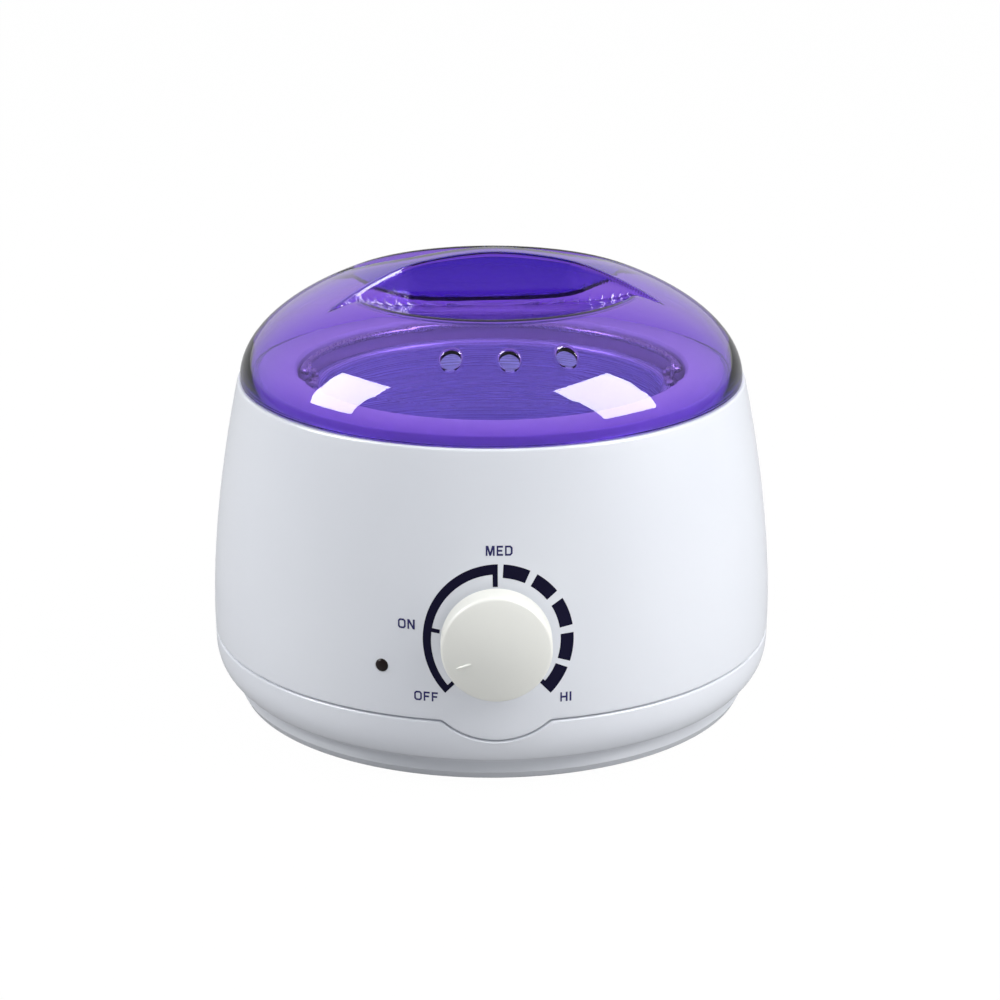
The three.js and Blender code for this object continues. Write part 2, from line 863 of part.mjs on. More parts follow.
function thermostatNut() {
  const low = bracketFace() + clearance;
  const high = low + nutThickness;
  const nut = disc(nutRadius, low, high, hexagonSteps);
  const thread = disc(bushRadius + clearance, low - overrun, high + overrun, smallRoundSteps);
  return towardsDial(nut.subtract(thread), dialHeight);
}

function bracketScrew(side) {
  const headTop = bracketFace() - bracketThickness - clearance;
  const tip = bracketFace() + bracketScrewGrip;
  const screw = turned([
    [0, headTop - bracketScrewHeadHeight],
    [bracketScrewHeadRadius, headTop - bracketScrewHeadHeight],
    [bracketScrewHeadRadius, headTop],
    [bracketScrewRadius, headTop],
    [bracketScrewRadius, tip],
    [0, tip],
  ], smallRoundSteps);
  return towardsDial(shifted(screw, side * bracketScrewOffset, 0, 0), dialHeight);
}

// A metal pad takes the well's heat through the insulation to the thermostat
function sensorPad() {
  const near = -thermostatBack() + clearance;
  const far = -Math.sqrt((bandRadius + bandThickness + clearance) ** 2 - sensorHalfWidth ** 2) - clearance;
  return block(
    [-sensorHalfWidth, sensorHalfWidth],
    [near, far],
    [sensorBottom, sensorBottom + sensorHeight],
  );
}

function heaterBand() {
  return ring(
    bandRadius,
    bandRadius + bandThickness,
    bandBottom,
    bandBottom + bandHeight,
    mediumRoundSteps,
  );
}

function bandStrap() {
  const outer = strapRadius + strapThickness;
  const top = strapBottom + strapHeight;
  const hoop = ring(strapRadius, outer, strapBottom, top, mediumRoundSteps);
  const split = block(
    [-strapEarGap / 2, strapEarGap / 2],
    [strapRadius - overrun, outer + overrun],
    [strapBottom - overrun, top + overrun],
  );
  const ears = [-1, 1].map((side) => {
    const inner = (side * strapEarGap) / 2;
    const far = inner + side * strapEarThickness;
    const x = [Math.min(inner, far), Math.max(inner, far)];
    return block(x, [outer - strapThickness / 2, outer + strapEarLength], [strapBottom, top]);
  });
  return cut(joined([hoop, ...ears]), [split, strapBore()]);
}

// The strap's tightening screw lies along X behind the well
function strapScrewPlace(shape) {
  const outer = strapRadius + strapThickness;
  const lay = new THREE.Matrix4().makeRotationY(Math.PI / 2);
  const spot = new THREE.Matrix4().makeTranslation(
    0,
    outer + (strapEarLength * 2) / 3,
    strapBottom + strapHeight / 2,
  );
  return moved(shape, lay.premultiply(spot));
}

function strapEarReach() {
  return strapEarGap / 2 + strapEarThickness + clearance;
}

function strapBore() {
  const reach = strapEarReach() + overrun;
  return strapScrewPlace(disc(strapScrewRadius + clearance, -reach, reach, smallRoundSteps));
}

function strapScrew() {
  const reach = strapEarReach();
  return strapScrewPlace(turned([
    [0, -reach - strapScrewHeadHeight],
    [strapScrewHeadRadius, -reach - strapScrewHeadHeight],
    [strapScrewHeadRadius, -reach],
    [strapScrewRadius, -reach],
    [strapScrewRadius, reach + strapNutThickness + clearance],
    [0, reach + strapNutThickness + clearance],
  ], smallRoundSteps));
}

function strapNut() {
  const reach = strapEarReach();
  const nut = disc(strapNutRadius, reach, reach + strapNutThickness, hexagonSteps);
  const thread = disc(
    strapScrewRadius + clearance,
    reach - overrun,
    reach + strapNutThickness + overrun,
    smallRoundSteps,
  );
  return strapScrewPlace(nut.subtract(thread));
}

function insulationWrap() {
  const sleeve = ring(
    insulationRadius,
    insulationOuterRadius,
    wellFloor + insulationRise,
    flangeTop - insulationDrop,
    mediumRoundSteps,
  );
  const far = insulationOuterRadius + overrun;
  const sensorWindow = block(
    [-sensorHalfWidth - windowMargin, sensorHalfWidth + windowMargin],
    [-far, -insulationRadius / 2],
    [sensorBottom - windowMargin, sensorBottom + sensorHeight + windowMargin],
  );
  const earReach = strapEarReach() + strapNutThickness + windowMargin;
  const earWindow = block(
    [-earReach, earReach],
    [insulationRadius / 2, far],
    [strapBottom - windowMargin, strapBottom + strapHeight + windowMargin],
  );
  return cut(sleeve, [sensorWindow, earWindow]);
}

function thermalFuse() {
  const along = new THREE.Matrix4().makeRotationY(Math.PI / 2);
  const body = disc(fuseRadius, -fuseLength / 2, fuseLength / 2, smallRoundSteps);
  return shifted(moved(body, along), 0, -fuseForward, fuseHeight);
}

// A bent strip holds the fuse up against the well
function fuseClip() {
  const inner = fuseRadius + clearance;
  const outer = inner + clipThickness;
  const half = clipWidth / 2;
  const top = fuseRadius;
  const strip = block([-half, half], [-outer, outer], [-outer, -inner]);
  const legs = [-1, 1].map((side) => {
    const y = side < 0 ? [-outer, -inner] : [inner, outer];
    return block([-half, half], y, [-outer, top]);
  });
  return shifted(joined([strip, ...legs]), 0, -fuseForward, fuseHeight);
}

// The indicator lamp's parts are drawn along Z, laid towards the dial and turned
function lampPlace(shape) {
  return turnedAbout(towardsDial(shape, lampHeight), -lampTurn);
}

function lensFlangeFace() {
  return wallInsideAt(lampHeight, lensFlangeRadius) - clearance;
}

function indicatorLens() {
  const face = shellRadiusAt(lampHeight) + lensProud;
  const flangeFace = lensFlangeFace();
  const flangeBack = flangeFace - lensFlangeThickness;
  return lampPlace(turned([
    [0, flangeBack - lensTail],
    [lensRadius, flangeBack - lensTail],
    [lensRadius, flangeBack],
    [lensFlangeRadius, flangeBack],
    [lensFlangeRadius, flangeFace],
    [lensRadius, flangeFace],
    [lensRadius, face - lensProud],
    [lensRadius / 2, face - lensProud / 4],
    [0, face],
  ], smallRoundSteps));
}

function lampHolder() {
  const front = lensFlangeFace() - lensFlangeThickness - clearance;
  const bore = lensRadius + clearance;
  const outer = bore + holderWall;
  return lampPlace(turned([
    [0, front - holderLength],
    [outer, front - holderLength],
    [outer, front],
    [bore, front],
    [bore, front - holderLength + holderFloor],
    [0, front - holderLength + holderFloor],
  ], smallRoundSteps));
}

// Mains entry: a rubber gland with a slot for a flat two-core lead
function cordGland() {
  const outerFace = bandRadiusAt(glandHeight) + glandProud;
  const lowWall = bandRadiusAt(glandHeight - glandFlangeRadius) - shellWall;
  const flangeFace = Math.sqrt(lowWall ** 2 - glandFlangeRadius ** 2) - clearance;
  const body = turned([
    [0, outerFace - glandLength],
    [glandRadius, outerFace - glandLength],
    [glandRadius, flangeFace - glandFlangeThickness],
    [glandFlangeRadius, flangeFace - glandFlangeThickness],
    [glandFlangeRadius, flangeFace],
    [glandRadius, flangeFace],
    [glandRadius, outerFace],
    [0, outerFace],
  ], smallRoundSteps);
  const slot = block(
    [-cordSlotWidth / 2, cordSlotWidth / 2],
    [-cordSlotHeight / 2, cordSlotHeight / 2],
    [outerFace - glandLength - overrun, outerFace + overrun],
  );
  return turnedAbout(towardsDial(body.subtract(slot), glandHeight), Math.PI);
}

function terminalPlaces() {
  const middle = (terminalCount - 1) / 2;
  const y = terminalBack - terminalDepth / 2;
  return Array.from({ length: terminalCount }, (_, i) => [(i - middle) * terminalPitch, y]);
}

function terminalBlock() {
  const body = block(
    [-terminalWidth / 2, terminalWidth / 2],
    [terminalBack - terminalDepth, terminalBack],
    [terminalBottom, terminalTop],
  );
  const screwWell = disc(
    terminalScrewRadius + clearance,
    terminalTop - terminalWellDepth,
    terminalTop + overrun,
    smallRoundSteps,
  );
  return cut(body, terminalPlaces().map(([x, y]) => shifted(screwWell, x, y, 0)));
}

function terminalScrew() {
  const top = terminalTop - terminalScrewSink;
  return disc(terminalScrewRadius, top - terminalScrewHeight, top, smallRoundSteps);
}

// Leads run straight out of what they join, then across the base under the well
function lead(points) {
  const curve = new THREE.CatmullRomCurve3(points.map((point) => new THREE.Vector3(...point)));
  return tube(curve, leadRadius, leadSides, leadSteps);
}

// A point on the base's floor, placed by shares of the well's radius
function acrossFloor(rightShare, backShare) {
  return [wellRadius * rightShare, wellRadius * backShare, floorTop + leadRise];
}

function terminalEnd(x) {
  const front = terminalBack - terminalDepth - clearance;
  const middle = (terminalBottom + terminalTop) / 2;
  return [[x, front, middle], [x, front - leadStraight, middle]];
}

function thermostatEnd(x) {
  const underside = dialHeight - thermostatHalfHeight - clearance;
  const middle = (thermostatBack() + thermostatFront()) / 2;
  return [[x, -middle, underside - leadStraight], [x, -middle, underside]];
}

// The last stretch rises between the well and the insulation to the heater band
function bandEnd(x, side) {
  const y = side * Math.sqrt((bandRadius + leadRadius) ** 2 - x ** 2);
  const top = bandBottom - clearance;
  return [[x, y, top - leadStraight - insulationRise], [x, y, top]];
}

function lampEnd() {
  const face = lensFlangeFace() - lensFlangeThickness - 2 * clearance - holderLength;
  return [face, face - leadStraight].map((distance) => (
    [-distance * Math.sin(lampTurn), -distance * Math.cos(lampTurn), lampHeight]
  ));
}

const leadRoutes = {
  lead_supply: [
    ...terminalEnd(0),
    acrossFloor(-0.07, 0),
    acrossFloor(-0.13, -0.66),
    acrossFloor(-0.13, -1.0),
    ...thermostatEnd(-thermostatHalfWidth / 2),
  ],
  lead_heater_front: [
    ...thermostatEnd(thermostatHalfWidth / 2).reverse(),
    [wellRadius * 0.15, -wellRadius * 1.16, wellFloor - insulationRise * 2],
    [wellRadius * 0.2, -wellRadius * 1.06, wellFloor - insulationRise * 2],
    ...bandEnd(wellRadius * 0.22, -1),
  ],
  lead_heater_rear: [
    ...terminalEnd(terminalPitch),
    acrossFloor(0.32, 0.42),
    acrossFloor(0.55, 0.6),
    [wellRadius * 0.62, wellRadius * 0.78, wellFloor - insulationRise * 2],
    ...bandEnd(wellRadius * 0.62, 1),
  ],
  lead_lamp: [
    ...lampEnd(),
    acrossFloor(-0.46, -0.95),
    acrossFloor(-0.44, -0.5),
    acrossFloor(-0.3, 0.17),
    ...terminalEnd(-terminalPitch).reverse(),
  ],
};

// Materials
function finish(color, roughness, metalness) {
  return { color, roughness, metalness };
}

const finishes = {
  whitePlastic: finish(0xeef0f4, 0.28, 0),
  ivoryPlastic: finish(0xf1efe8, 0.42, 0),
  purplePlastic: finish(0x4b2bb4, 0.12, 0),
  blackRubber: finish(0x1b1b1d, 0.8, 0),
  aluminium: finish(0xc9ccd2, 0.32, 1),
  steel: finish(0xb6b9be, 0.35, 1),
  brass: finish(0xc79a4a, 0.35, 1),
  mica: finish(0xa89468, 0.6, 0),
  glassFibre: finish(0xe9e4d6, 0.95, 0),
  ceramic: finish(0xe5e0d4, 0.5, 0),
  terminalPlastic: finish(0xe8e6df, 0.45, 0),
  lampRed: finish(0x5a1512, 0.2, 0),
  leadRed: finish(0x9c2a24, 0.5, 0),
  leadBlue: finish(0x2c4c8f, 0.5, 0),
};

const wholeObject = new THREE.Group();
const body = new THREE.Group();
wholeObject.add(body);

function place(name, shape, look, x = 0, y = 0) {
  const mesh = new THREE.Mesh(surfaceOf(shape), new THREE.MeshStandardMaterial(finishes[look]));
  mesh.name = name;
  mesh.position.set(x, y, 0);
  body.add(mesh);
  return mesh;
}

function placeEach(name, shape, look, places) {
  places.forEach(([x, y], i) => place(`${name}_${i + 1}`, shape, look, x, y));
}

place('base_pan', basePan(), 'whitePlastic');
place('upper_shell', upperShell(), 'whitePlastic');
placeEach('rubber_foot', foot(), 'blackRubber', placesOnCircle(footCircle, footTurns));
placeEach('case_screw', caseScrew(), 'steel', placesOnCircle(caseScrewCircle, caseScrewTurns));

place('heater_pan', heaterPan(), 'aluminium');
place('heater_band', heaterBand(), 'mica');
place('band_strap', bandStrap(), 'steel');
place('strap_screw', strapScrew(), 'steel');
place('strap_nut', strapNut(), 'steel');
place('insulation_wrap', insulationWrap(), 'glassFibre');
place('thermal_fuse', thermalFuse(), 'ceramic');
place('fuse_clip', fuseClip(), 'steel');

place('thermostat_body', thermostatBody(), 'ceramic');
place('thermostat_bracket', thermostatBracket(), 'steel');
place('thermostat_nut', thermostatNut(), 'brass');
place('bracket_screw_left', bracketScrew(-1), 'steel');
place('bracket_screw_right', bracketScrew(1), 'steel');
place('sensor_pad', sensorPad(), 'aluminium');
place('thermostat_spindle', thermostatSpindle(), 'brass');
place('control_knob', controlKnob(), 'ivoryPlastic');

place('indicator_lens', indicatorLens(), 'lampRed');
place('lamp_holder', lampHolder(), 'terminalPlastic');
place('cord_gland', cordGland(), 'blackRubber');
place('terminal_block', terminalBlock(), 'terminalPlastic');
placeEach('terminal_screw', terminalScrew(), 'brass', terminalPlaces());
place('lead_supply', lead(leadRoutes.lead_supply), 'leadRed');
place('lead_heater_front', lead(leadRoutes.lead_heater_front), 'leadRed');
place('lead_heater_rear', lead(leadRoutes.lead_heater_rear), 'leadBlue');
place('lead_lamp', lead(leadRoutes.lead_lamp), 'leadBlue');

place('inner_pot', innerPot(), 'aluminium');
place('bail_ear_left', bailEar(-1), 'steel');
place('bail_ear_right', bailEar(1), 'steel');
placeEach('ear_rivet', earRivet(), 'aluminium', earRivetPlaces());
place('bail_wire', bailWire(), 'steel');
place('lid', lid(), 'purplePlastic').rotation.z = lidTurn;

// The origin is under the middle of the whole object, whose dial stands proud in front
const frontReach = knobBack() + knobDepth + pointerHeight;
body.position.y = (frontReach - bodyRadius) / 2;

export default wholeObject;
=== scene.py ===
"""A salon wax warmer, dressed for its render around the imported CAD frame.

Shapes are drawn in millimetres about the body's own upright axis, with the floor at
zero, and are turned into the frame's metres when their mesh is made. Angles round the
body start at the dial and run towards the viewer's right.
"""

import math

import bmesh
import bpy
import numpy as np
from mathutils import Matrix, Vector
from mathutils.geometry import delaunay_2d_cdt


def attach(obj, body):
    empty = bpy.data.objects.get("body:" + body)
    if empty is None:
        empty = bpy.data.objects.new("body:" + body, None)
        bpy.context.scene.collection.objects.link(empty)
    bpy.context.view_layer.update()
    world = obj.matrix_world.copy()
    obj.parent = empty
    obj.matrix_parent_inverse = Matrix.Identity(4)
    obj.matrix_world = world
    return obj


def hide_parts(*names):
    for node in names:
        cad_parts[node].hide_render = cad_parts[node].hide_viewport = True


MM = 0.001
AXIS_Y = 5.882

# Body outline
BODY_R = 93.0
BELLY_Z = 31.5
SEAM_R, SEAM_Z = 92.9, 24.5
SEAM_GAP = 0.6
RIM_R, RIM_Z = 83.2, 109.2
SIDE_POWER = 1.75
SHELL_WALL = 2.5
CREASE_R, CREASE_Z = 86.2, 8.4
CREASE_DEPTH = 2.0
CREASE_SHAPE = (
    (0.6, -3.3), (0.76, -2.6), (0.9, -1.9), (0.98, -1.2),
    (1.0, -0.6), (0.92, -0.05), (0.7, 0.35), (0.35, 0.6),
)
BAND_POWER = 3.2
SKIRT_R, SKIRT_Z = 84.1, 2.0
FLOOR_LOW, FLOOR_HIGH = 5.0, 7.5
LIP_R, LIP_INSIDE, LIP_ROOT, LIP_RISE = 89.2, 87.4, 17.2, 4
TONGUE_R, TONGUE_Z = 25.14, 43.64
SEAM_EDGE = 0.5
# Share of the base's colour kept below the crease: painted shade for the crease and skirt
SKIRT_PAINTED_SHADE = 0.79
SPIGOT_R, SPIGOT_RISE = 77.2, 2.2
CHANNEL_R, CHANNEL_DEPTH = 79.8, 1.6
DECK_Z, DECK_EDGE_R = 112.2, 65.4
COLLAR_R = 63.6
LEDGE_R, LEDGE_Z = 61.0, 101.2

# Well and pot
WELL_R, WELL_WALL, WELL_FLOOR = 59.3, 1.2, 38.0
FLANGE_R, FLANGE_Z, FLANGE_THICK = 63.3, 103.0, 1.5
POT_R, POT_WALL, POT_BOTTOM, POT_TAPER = 56.5, 1.2, 38.3, 1.4
POT_RING_R, POT_HOLLOW = 45, 0.5
POT_RIM_R, POT_RIM_LOW, POT_RIM_HIGH = 60.3, 103.3, 105.7
BAIL_R, BAIL_WIRE, PIVOT_Z, BAIL_END = 61.9, 1.1, 109.8, 4.4
BAIL_BEND, BAIL_STRAIGHT = 1.9, 2.2
EAR_FACE, EAR_INSIDE, EAR_HALF, EAR_LOW, EAR_THICK = 60.0, 57.0, 8.6, 106.0, 1.0
TAB_R, TAB_THICK, TAB_SUNK, EYE_R, EAR_EDGE = 3.2, 1.1, 0.4, 1.4, 0.2
RIVET_X, RIVET_Y, RIVET_R, RIVET_LOW, RIVET_TOP = 58.5, 6, 0.9, 104.4, 107.3
RIVET_HEAD_R, RIVET_HEAD = 1.5, 0.8

# Lid
LID_Z = 109.5
LID_R, LID_H = 82.4, 41.6
LID_STEPS, LID_INNER_EDGE = 288, 78.0
LID_TURN = math.radians(3.9)
DOME_POWER = 1.62
DISH_Z, DISH_RISE, DISH_R, DISH_POWER = 24.4, 6.8, 49.5, 3.5
SKIN_WALL, RIM_WALL, RIM_BAND = 1.3, 2.4, 12.0
BRIDGE_TOP, BRIDGE_CORNER, BRIDGE_FLARE = 4.0, 27.5, 0.74
WALL_SLOPE = 6.9
BRIDGE_WALL = 1.6
BRIDGE_BEND = 5.0
TAIL_R, TAIL_RUN, TAIL_DEPTH, TAIL_WIDTH = 57.0, 8.0, 2.2, 5.5
VENT_R, VENT_CIRCLE, VENT_SPACING = 3.2, 66.0, math.radians(15.5)
VENTS = [
    (VENT_CIRCLE * math.sin(i * VENT_SPACING), -VENT_CIRCLE * math.cos(i * VENT_SPACING))
    for i in (-1, 0, 1)
]

# Dial and lamp
DIAL_Z = 51.7
KNOB_BACK, KNOB_DEPTH = 93.24, 11.0
KNOB_BASE_R, KNOB_FACE_R, KNOB_EDGE, KNOB_DOME = 16.95, 16.8, 1.5, 2.9
KNOB_ROWS = (0.85, 0.7, 0.55, 0.4, 0.25, 0.1)
POINTER_TURN, POINTER_REACH, POINTER_HALF, POINTER_RISE = math.radians(114), (8.4, 13.4), 0.5, 0.85
KNOB_BORE_R, KNOB_BORE, SPINDLE_BORE = 2.8, 8, 5.0
LAMP_Z, LAMP_TURN, LENS_R, LENS_PROUD = 41.0, math.radians(22.2), 2.0, 0.7
LENS_BACK, LENS_FLANGE_R, LENS_FLANGE = 79.0, 2.9, (86.6, 87.8)
PRINT_X, PRINT_Z, PRINT_STRETCH = 0.63, 51.0, 1.041
SCALE_R, SCALE_INNER = 23.0, 19.0
LABELS = (("OFF", (-21.5, 32.5)), ("ON", (-27.3, 55.2)), ("MED", (0.95, 79.05)), ("HI", (21.35, 32.1)))

# Underside and mains entry
FOOT_CIRCLE, FOOT_R, FOOT_TOP, FOOT_DISH_R, FOOT_DISH = 65.9, 9.0, 4.7, 3.6, 0.5
STEM_R, BARB_R, BARB_Z, STEM_END = 3, 4.1, 7.8, 9.6
SCREW_CIRCLE, SCREW_HEAD_R, SCREW_LOW, SCREW_SEAT = 73.9, 3.8, 2.3, 4.7
SCREW_R, SCREW_TIP, SCREW_END = 1.8, 23.2, 25.0
CROSS_REACH, CROSS_HALF, CROSS_DEPTH = 1.9, 0.4, 1.3
GLAND_Z, GLAND_R, GLAND_END, GLAND_FACE = 15.85, 4.6, 75.9, 91.75
GLAND_LIP_R, GLAND_LIP, SLOT_HALF, SLOT_RISE = 6.2, (84.2, 85.8), 3.1, 1.85

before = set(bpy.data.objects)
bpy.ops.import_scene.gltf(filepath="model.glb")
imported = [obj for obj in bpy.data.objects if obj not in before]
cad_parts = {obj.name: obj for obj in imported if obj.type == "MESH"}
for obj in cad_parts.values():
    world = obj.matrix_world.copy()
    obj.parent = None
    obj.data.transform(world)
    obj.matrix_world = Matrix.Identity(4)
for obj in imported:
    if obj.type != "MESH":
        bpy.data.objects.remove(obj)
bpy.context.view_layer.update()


# Outlines

def side_radius(z):
    """The upper shell's outer radius at a height."""
    if z < BELLY_Z:
        return BODY_R - (BODY_R - SEAM_R) * ((BELLY_Z - z) / (BELLY_Z - SEAM_Z)) ** 2
    share = min(1.0, (z - BELLY_Z) / (RIM_Z - BELLY_Z))
    return BODY_R - (BODY_R - RIM_R) * share ** SIDE_POWER


def band_radius(z):
    """The base's outer radius at a height, from the crease to the seam."""
    share = min(1.0, max(0.0, (z - CREASE_Z) / (SEAM_Z - CREASE_Z)))
    return CREASE_R + (SEAM_R - CREASE_R) * (1 - (1 - share) ** BAND_POWER)


def outline_radius(z):
    return side_radius(z) if z >= SEAM_Z else band_radius(z)


def soft_min(a, b, k):
    """The lower of two heights, with the corner between them rounded over k."""
    h = np.clip(0.5 + 0.5 * (b - a) / k, 0, 1)
    return b + (a - b) * h - k * h * (1 - h)


def soft_max(a, b, k):
    return -soft_min(-a, -b, k)


def seam_height(x, offset):
    """Where an edge of the seam runs, level all round but for the dip under the dial."""
    level = SEAM_Z + offset
    radius = TONGUE_R + (SEAM_GAP / 2 - offset)
    if abs(x) >= radius:
        return level
    dip = TONGUE_Z - math.sqrt(radius ** 2 - x ** 2)
    return float(soft_min(np.float64(level), np.float64(dip), 0.9))


def seam_columns():
    """Angles round the body, closer together at the dip in the seam."""
    coarse = np.radians(np.arange(14.0, 346.01, 1.66)[:-1])
    fine = np.radians(np.linspace(-14.0, 14.0, 113)[:-1])
    return np.concatenate([fine, coarse])


# Mesh tools

def rounded(corners, steps=5):
    """A profile through [radius, height, rounding] corners, with its corners turned to arcs."""
    points = []
    for i, (r, z, rounding) in enumerate(corners):
        here = np.array([r, z], float)
        if rounding <= 0 or i in (0, len(corners) - 1):
            points.append(tuple(here))
            continue
        before = np.array(corners[i - 1][:2], float) - here
        after = np.array(corners[i + 1][:2], float) - here
        before /= np.linalg.norm(before)
        after /= np.linalg.norm(after)
        half = math.acos(np.clip(before @ after, -1, 1)) / 2
        centre = here + (before + after) / np.linalg.norm(before + after) * rounding / math.sin(half)
        start = here + before * rounding / math.tan(half) - centre
        end = here + after * rounding / math.tan(half) - centre
        sweep = math.acos(np.clip(start @ end / rounding ** 2, -1, 1))
        for j in range(steps + 1):
            t = j / steps
            arm = (math.sin((1 - t) * sweep) * start + math.sin(t * sweep) * end) / math.sin(sweep)
            points.append(tuple(centre + arm))
    return points


def wrapped(columns, angles, closed):
    """Points and faces of profiles (one per angle) set round the axis.

    A closed profile is a loop; an open one begins and ends on the axis."""
    count, rows = len(angles), len(columns[0])
    points, faces = [], []
    for profile, angle in zip(columns, angles):
        points += [(r * math.sin(angle), -r * math.cos(angle), z) for r, z in profile]
    for i in range(count):
        j = (i + 1) % count
        for k in range(rows if closed else rows - 1):
            n = (k + 1) % rows
            faces.append((i * rows + k, j * rows + k, j * rows + n, i * rows + n))
    return points, faces


def turned(profile, steps):
    angles = np.linspace(0, 2 * math.pi, steps, endpoint=False)
    return wrapped([profile] * steps, angles, False)


def cylinder(radius, near, far, steps):
    return turned([(0, near), (radius, near), (radius, far), (0, far)], steps)


def tube_faces(rings, count):
    """Faces round a tube of rings of points, and over its ends."""
    faces = [tuple(range(count))[::-1], tuple((rings - 1) * count + k for k in range(count))]
    for i in range(rings - 1):
        for k in range(count):
            n = (k + 1) % count
            faces.append((i * count + k, i * count + n, (i + 1) * count + n, (i + 1) * count + k))
    return faces


def moved(points, x, y):
    return [(px + x, py + y, pz) for px, py, pz in points]


def placed(points, matrix):
    return [tuple(matrix @ Vector(p)) for p in points]


def towards_dial(points, height, turn=0.0):
    """Lays a shape drawn along Z down towards the dial, at a height, turned round the axis."""
    lay = Matrix.Translation((0, 0, height)) @ Matrix.Rotation(math.pi / 2, 4, "X")
    return placed(points, Matrix.Rotation(turn, 4, "Z") @ lay)


def mesh_object(name, points, faces):
    """A mesh in the frame's metres, welded, with its faces turned outwards."""
    mesh = bpy.data.meshes.new(name)
    mesh.from_pydata([(x * MM, (y + AXIS_Y) * MM, z * MM) for x, y, z in points], [], faces)
    work = bmesh.new()
    work.from_mesh(mesh)
    bmesh.ops.remove_doubles(work, verts=work.verts, dist=2e-7)
    bmesh.ops.dissolve_degenerate(work, edges=work.edges, dist=2e-7)
    bmesh.ops.recalc_face_normals(work, faces=work.faces)
    work.to_mesh(mesh)
    work.free()
    obj = bpy.data.objects.new(name, mesh)
    bpy.context.scene.collection.objects.link(obj)
    return obj


def apply_modifiers(obj):
    graph = bpy.context.evaluated_depsgraph_get()
    mesh = bpy.data.meshes.new_from_object(obj.evaluated_get(graph))
    obj.modifiers.clear()
    obj.data = mesh


def carve(obj, cutters):
    """Cuts other objects out of obj and removes them."""
    for cutter in cutters:
        step = obj.modifiers.new("cut", "BOOLEAN")
        step.operation, step.solver, step.object = "DIFFERENCE", "EXACT", cutter
    apply_modifiers(obj)
    for cutter in cutters:
        bpy.data.objects.remove(cutter)


def finish_piece(obj, look, body, nodes=(), sharp=32):
    """Shades, paints and fastens a piece."""
    obj.data.shade_smooth()
    obj.data.set_sharp_from_angle(angle=math.radians(sharp))
    obj.data.materials.clear()
    obj.data.materials.append(look)
    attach(obj, body)
    if nodes:
        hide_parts(*nodes)
    return obj


def box_shape(x, y, z):
    points = [(a, b, c) for a in x for b in y for c in z]
    faces = [(0, 1, 3, 2), (4, 6, 7, 5), (0, 4, 5, 1), (2, 3, 7, 6), (0, 2, 6, 4), (1, 5, 7, 3)]
    return points, faces


def merged(*shapes):
    points, faces = [], []
    for shape_points, shape_faces in shapes:
        start = len(points)
        points += shape_points
        faces += [tuple(start + i for i in face) for face in shape_faces]
    return points, faces


# Materials

def shader_of(look):
    return look.node_tree.nodes["Principled BSDF"]


def principled(name, color, roughness, **sockets):
    look = bpy.data.materials.new(name)
    look.use_nodes = True
    shader = shader_of(look)
    shader.inputs["Base Color"].default_value = (*color, 1)
    shader.inputs["Roughness"].default_value = roughness
    for label, value in sockets.items():
        shader.inputs[label.replace("_", " ")].default_value = value
    return look


def node(look, kind, values=None, **settings):
    """A new node. An input is given a value, or another node's output to be linked to."""
    made = look.node_tree.nodes.new(kind)
    for key, value in settings.items():
        setattr(made, key, value)
    for socket, value in (values or {}).items():
        if isinstance(value, bpy.types.NodeSocket):
            link(look, value, made.inputs[socket])
        else:
            made.inputs[socket].default_value = value
    return made


def link(look, source, target):
    look.node_tree.links.new(source, target)


def surface_point(look):
    """Where a point of the surface is, in millimetres about the body's axis."""
    where = node(look, "ShaderNodeTexCoord").outputs["Object"]
    place = node(look, "ShaderNodeMapping",
                 {"Vector": where, "Location": (0, -AXIS_Y, 0), "Scale": (1000, 1000, 1000)})
    return place.outputs["Vector"]


def noise(look, point, per_mm, detail=2.0, stretch=(1, 1, 1)):
    place = node(look, "ShaderNodeMapping", {"Vector": point, "Scale": tuple(per_mm * s for s in stretch)})
    made = node(look, "ShaderNodeTexNoise",
                {"Vector": place.outputs["Vector"], "Scale": 1.0, "Detail": detail, "Roughness": 0.55})
    return made.outputs["Fac"]


def varied_gloss(look, value, low, high):
    step = node(look, "ShaderNodeMapRange",
                {"Value": value, "From Min": 0.3, "From Max": 0.7, "To Min": low, "To Max": high})
    link(look, step.outputs["Result"], shader_of(look).inputs["Roughness"])


def varied_color(look, value, first, second):
    step = node(look, "ShaderNodeMapRange", {"Value": value, "From Min": 0.3, "From Max": 0.7})
    blend = node(look, "ShaderNodeMix", {"Factor": step.outputs["Result"]}, data_type="RGBA")
    sockets = [s for s in blend.inputs if s.type == "RGBA"]
    for socket, color in zip(sockets, (first, second)):
        socket.default_value = (*color, 1)
    color_out = [s for s in blend.outputs if s.type == "RGBA"][0]
    link(look, color_out, shader_of(look).inputs["Base Color"])


def bumped(look, value, depth_mm):
    step = node(look, "ShaderNodeBump", {"Height": value, "Strength": 1.0, "Distance": depth_mm * MM})
    link(look, step.outputs["Normal"], shader_of(look).inputs["Normal"])


def spun_point(look, point):
    """Radius and height only, so that a texture runs round the axis as tool marks do."""
    apart = node(look, "ShaderNodeSeparateXYZ", {"Vector": point}).outputs
    flat = node(look, "ShaderNodeCombineXYZ", {"X": apart["X"], "Y": apart["Y"]})
    length = node(look, "ShaderNodeVectorMath", {0: flat.outputs["Vector"]}, operation="LENGTH")
    spun = node(look, "ShaderNodeCombineXYZ", {"X": length.outputs["Value"], "Z": apart["Z"]})
    return spun.outputs["Vector"]


def moulded_look(name, color, shade, roughness, grain=0.9, depth=0.0008, **sockets):
    """Moulded plastic: slight tone and gloss variation and a very fine skin."""
    look = principled(name, color, roughness, **sockets)
    point = surface_point(look)
    varied_color(look, noise(look, point, 0.02, 1), shade, color)
    varied_gloss(look, noise(look, point, 0.03, 1), roughness * 0.97, roughness * 1.04)
    bumped(look, noise(look, point, grain, 2), depth)
    return look


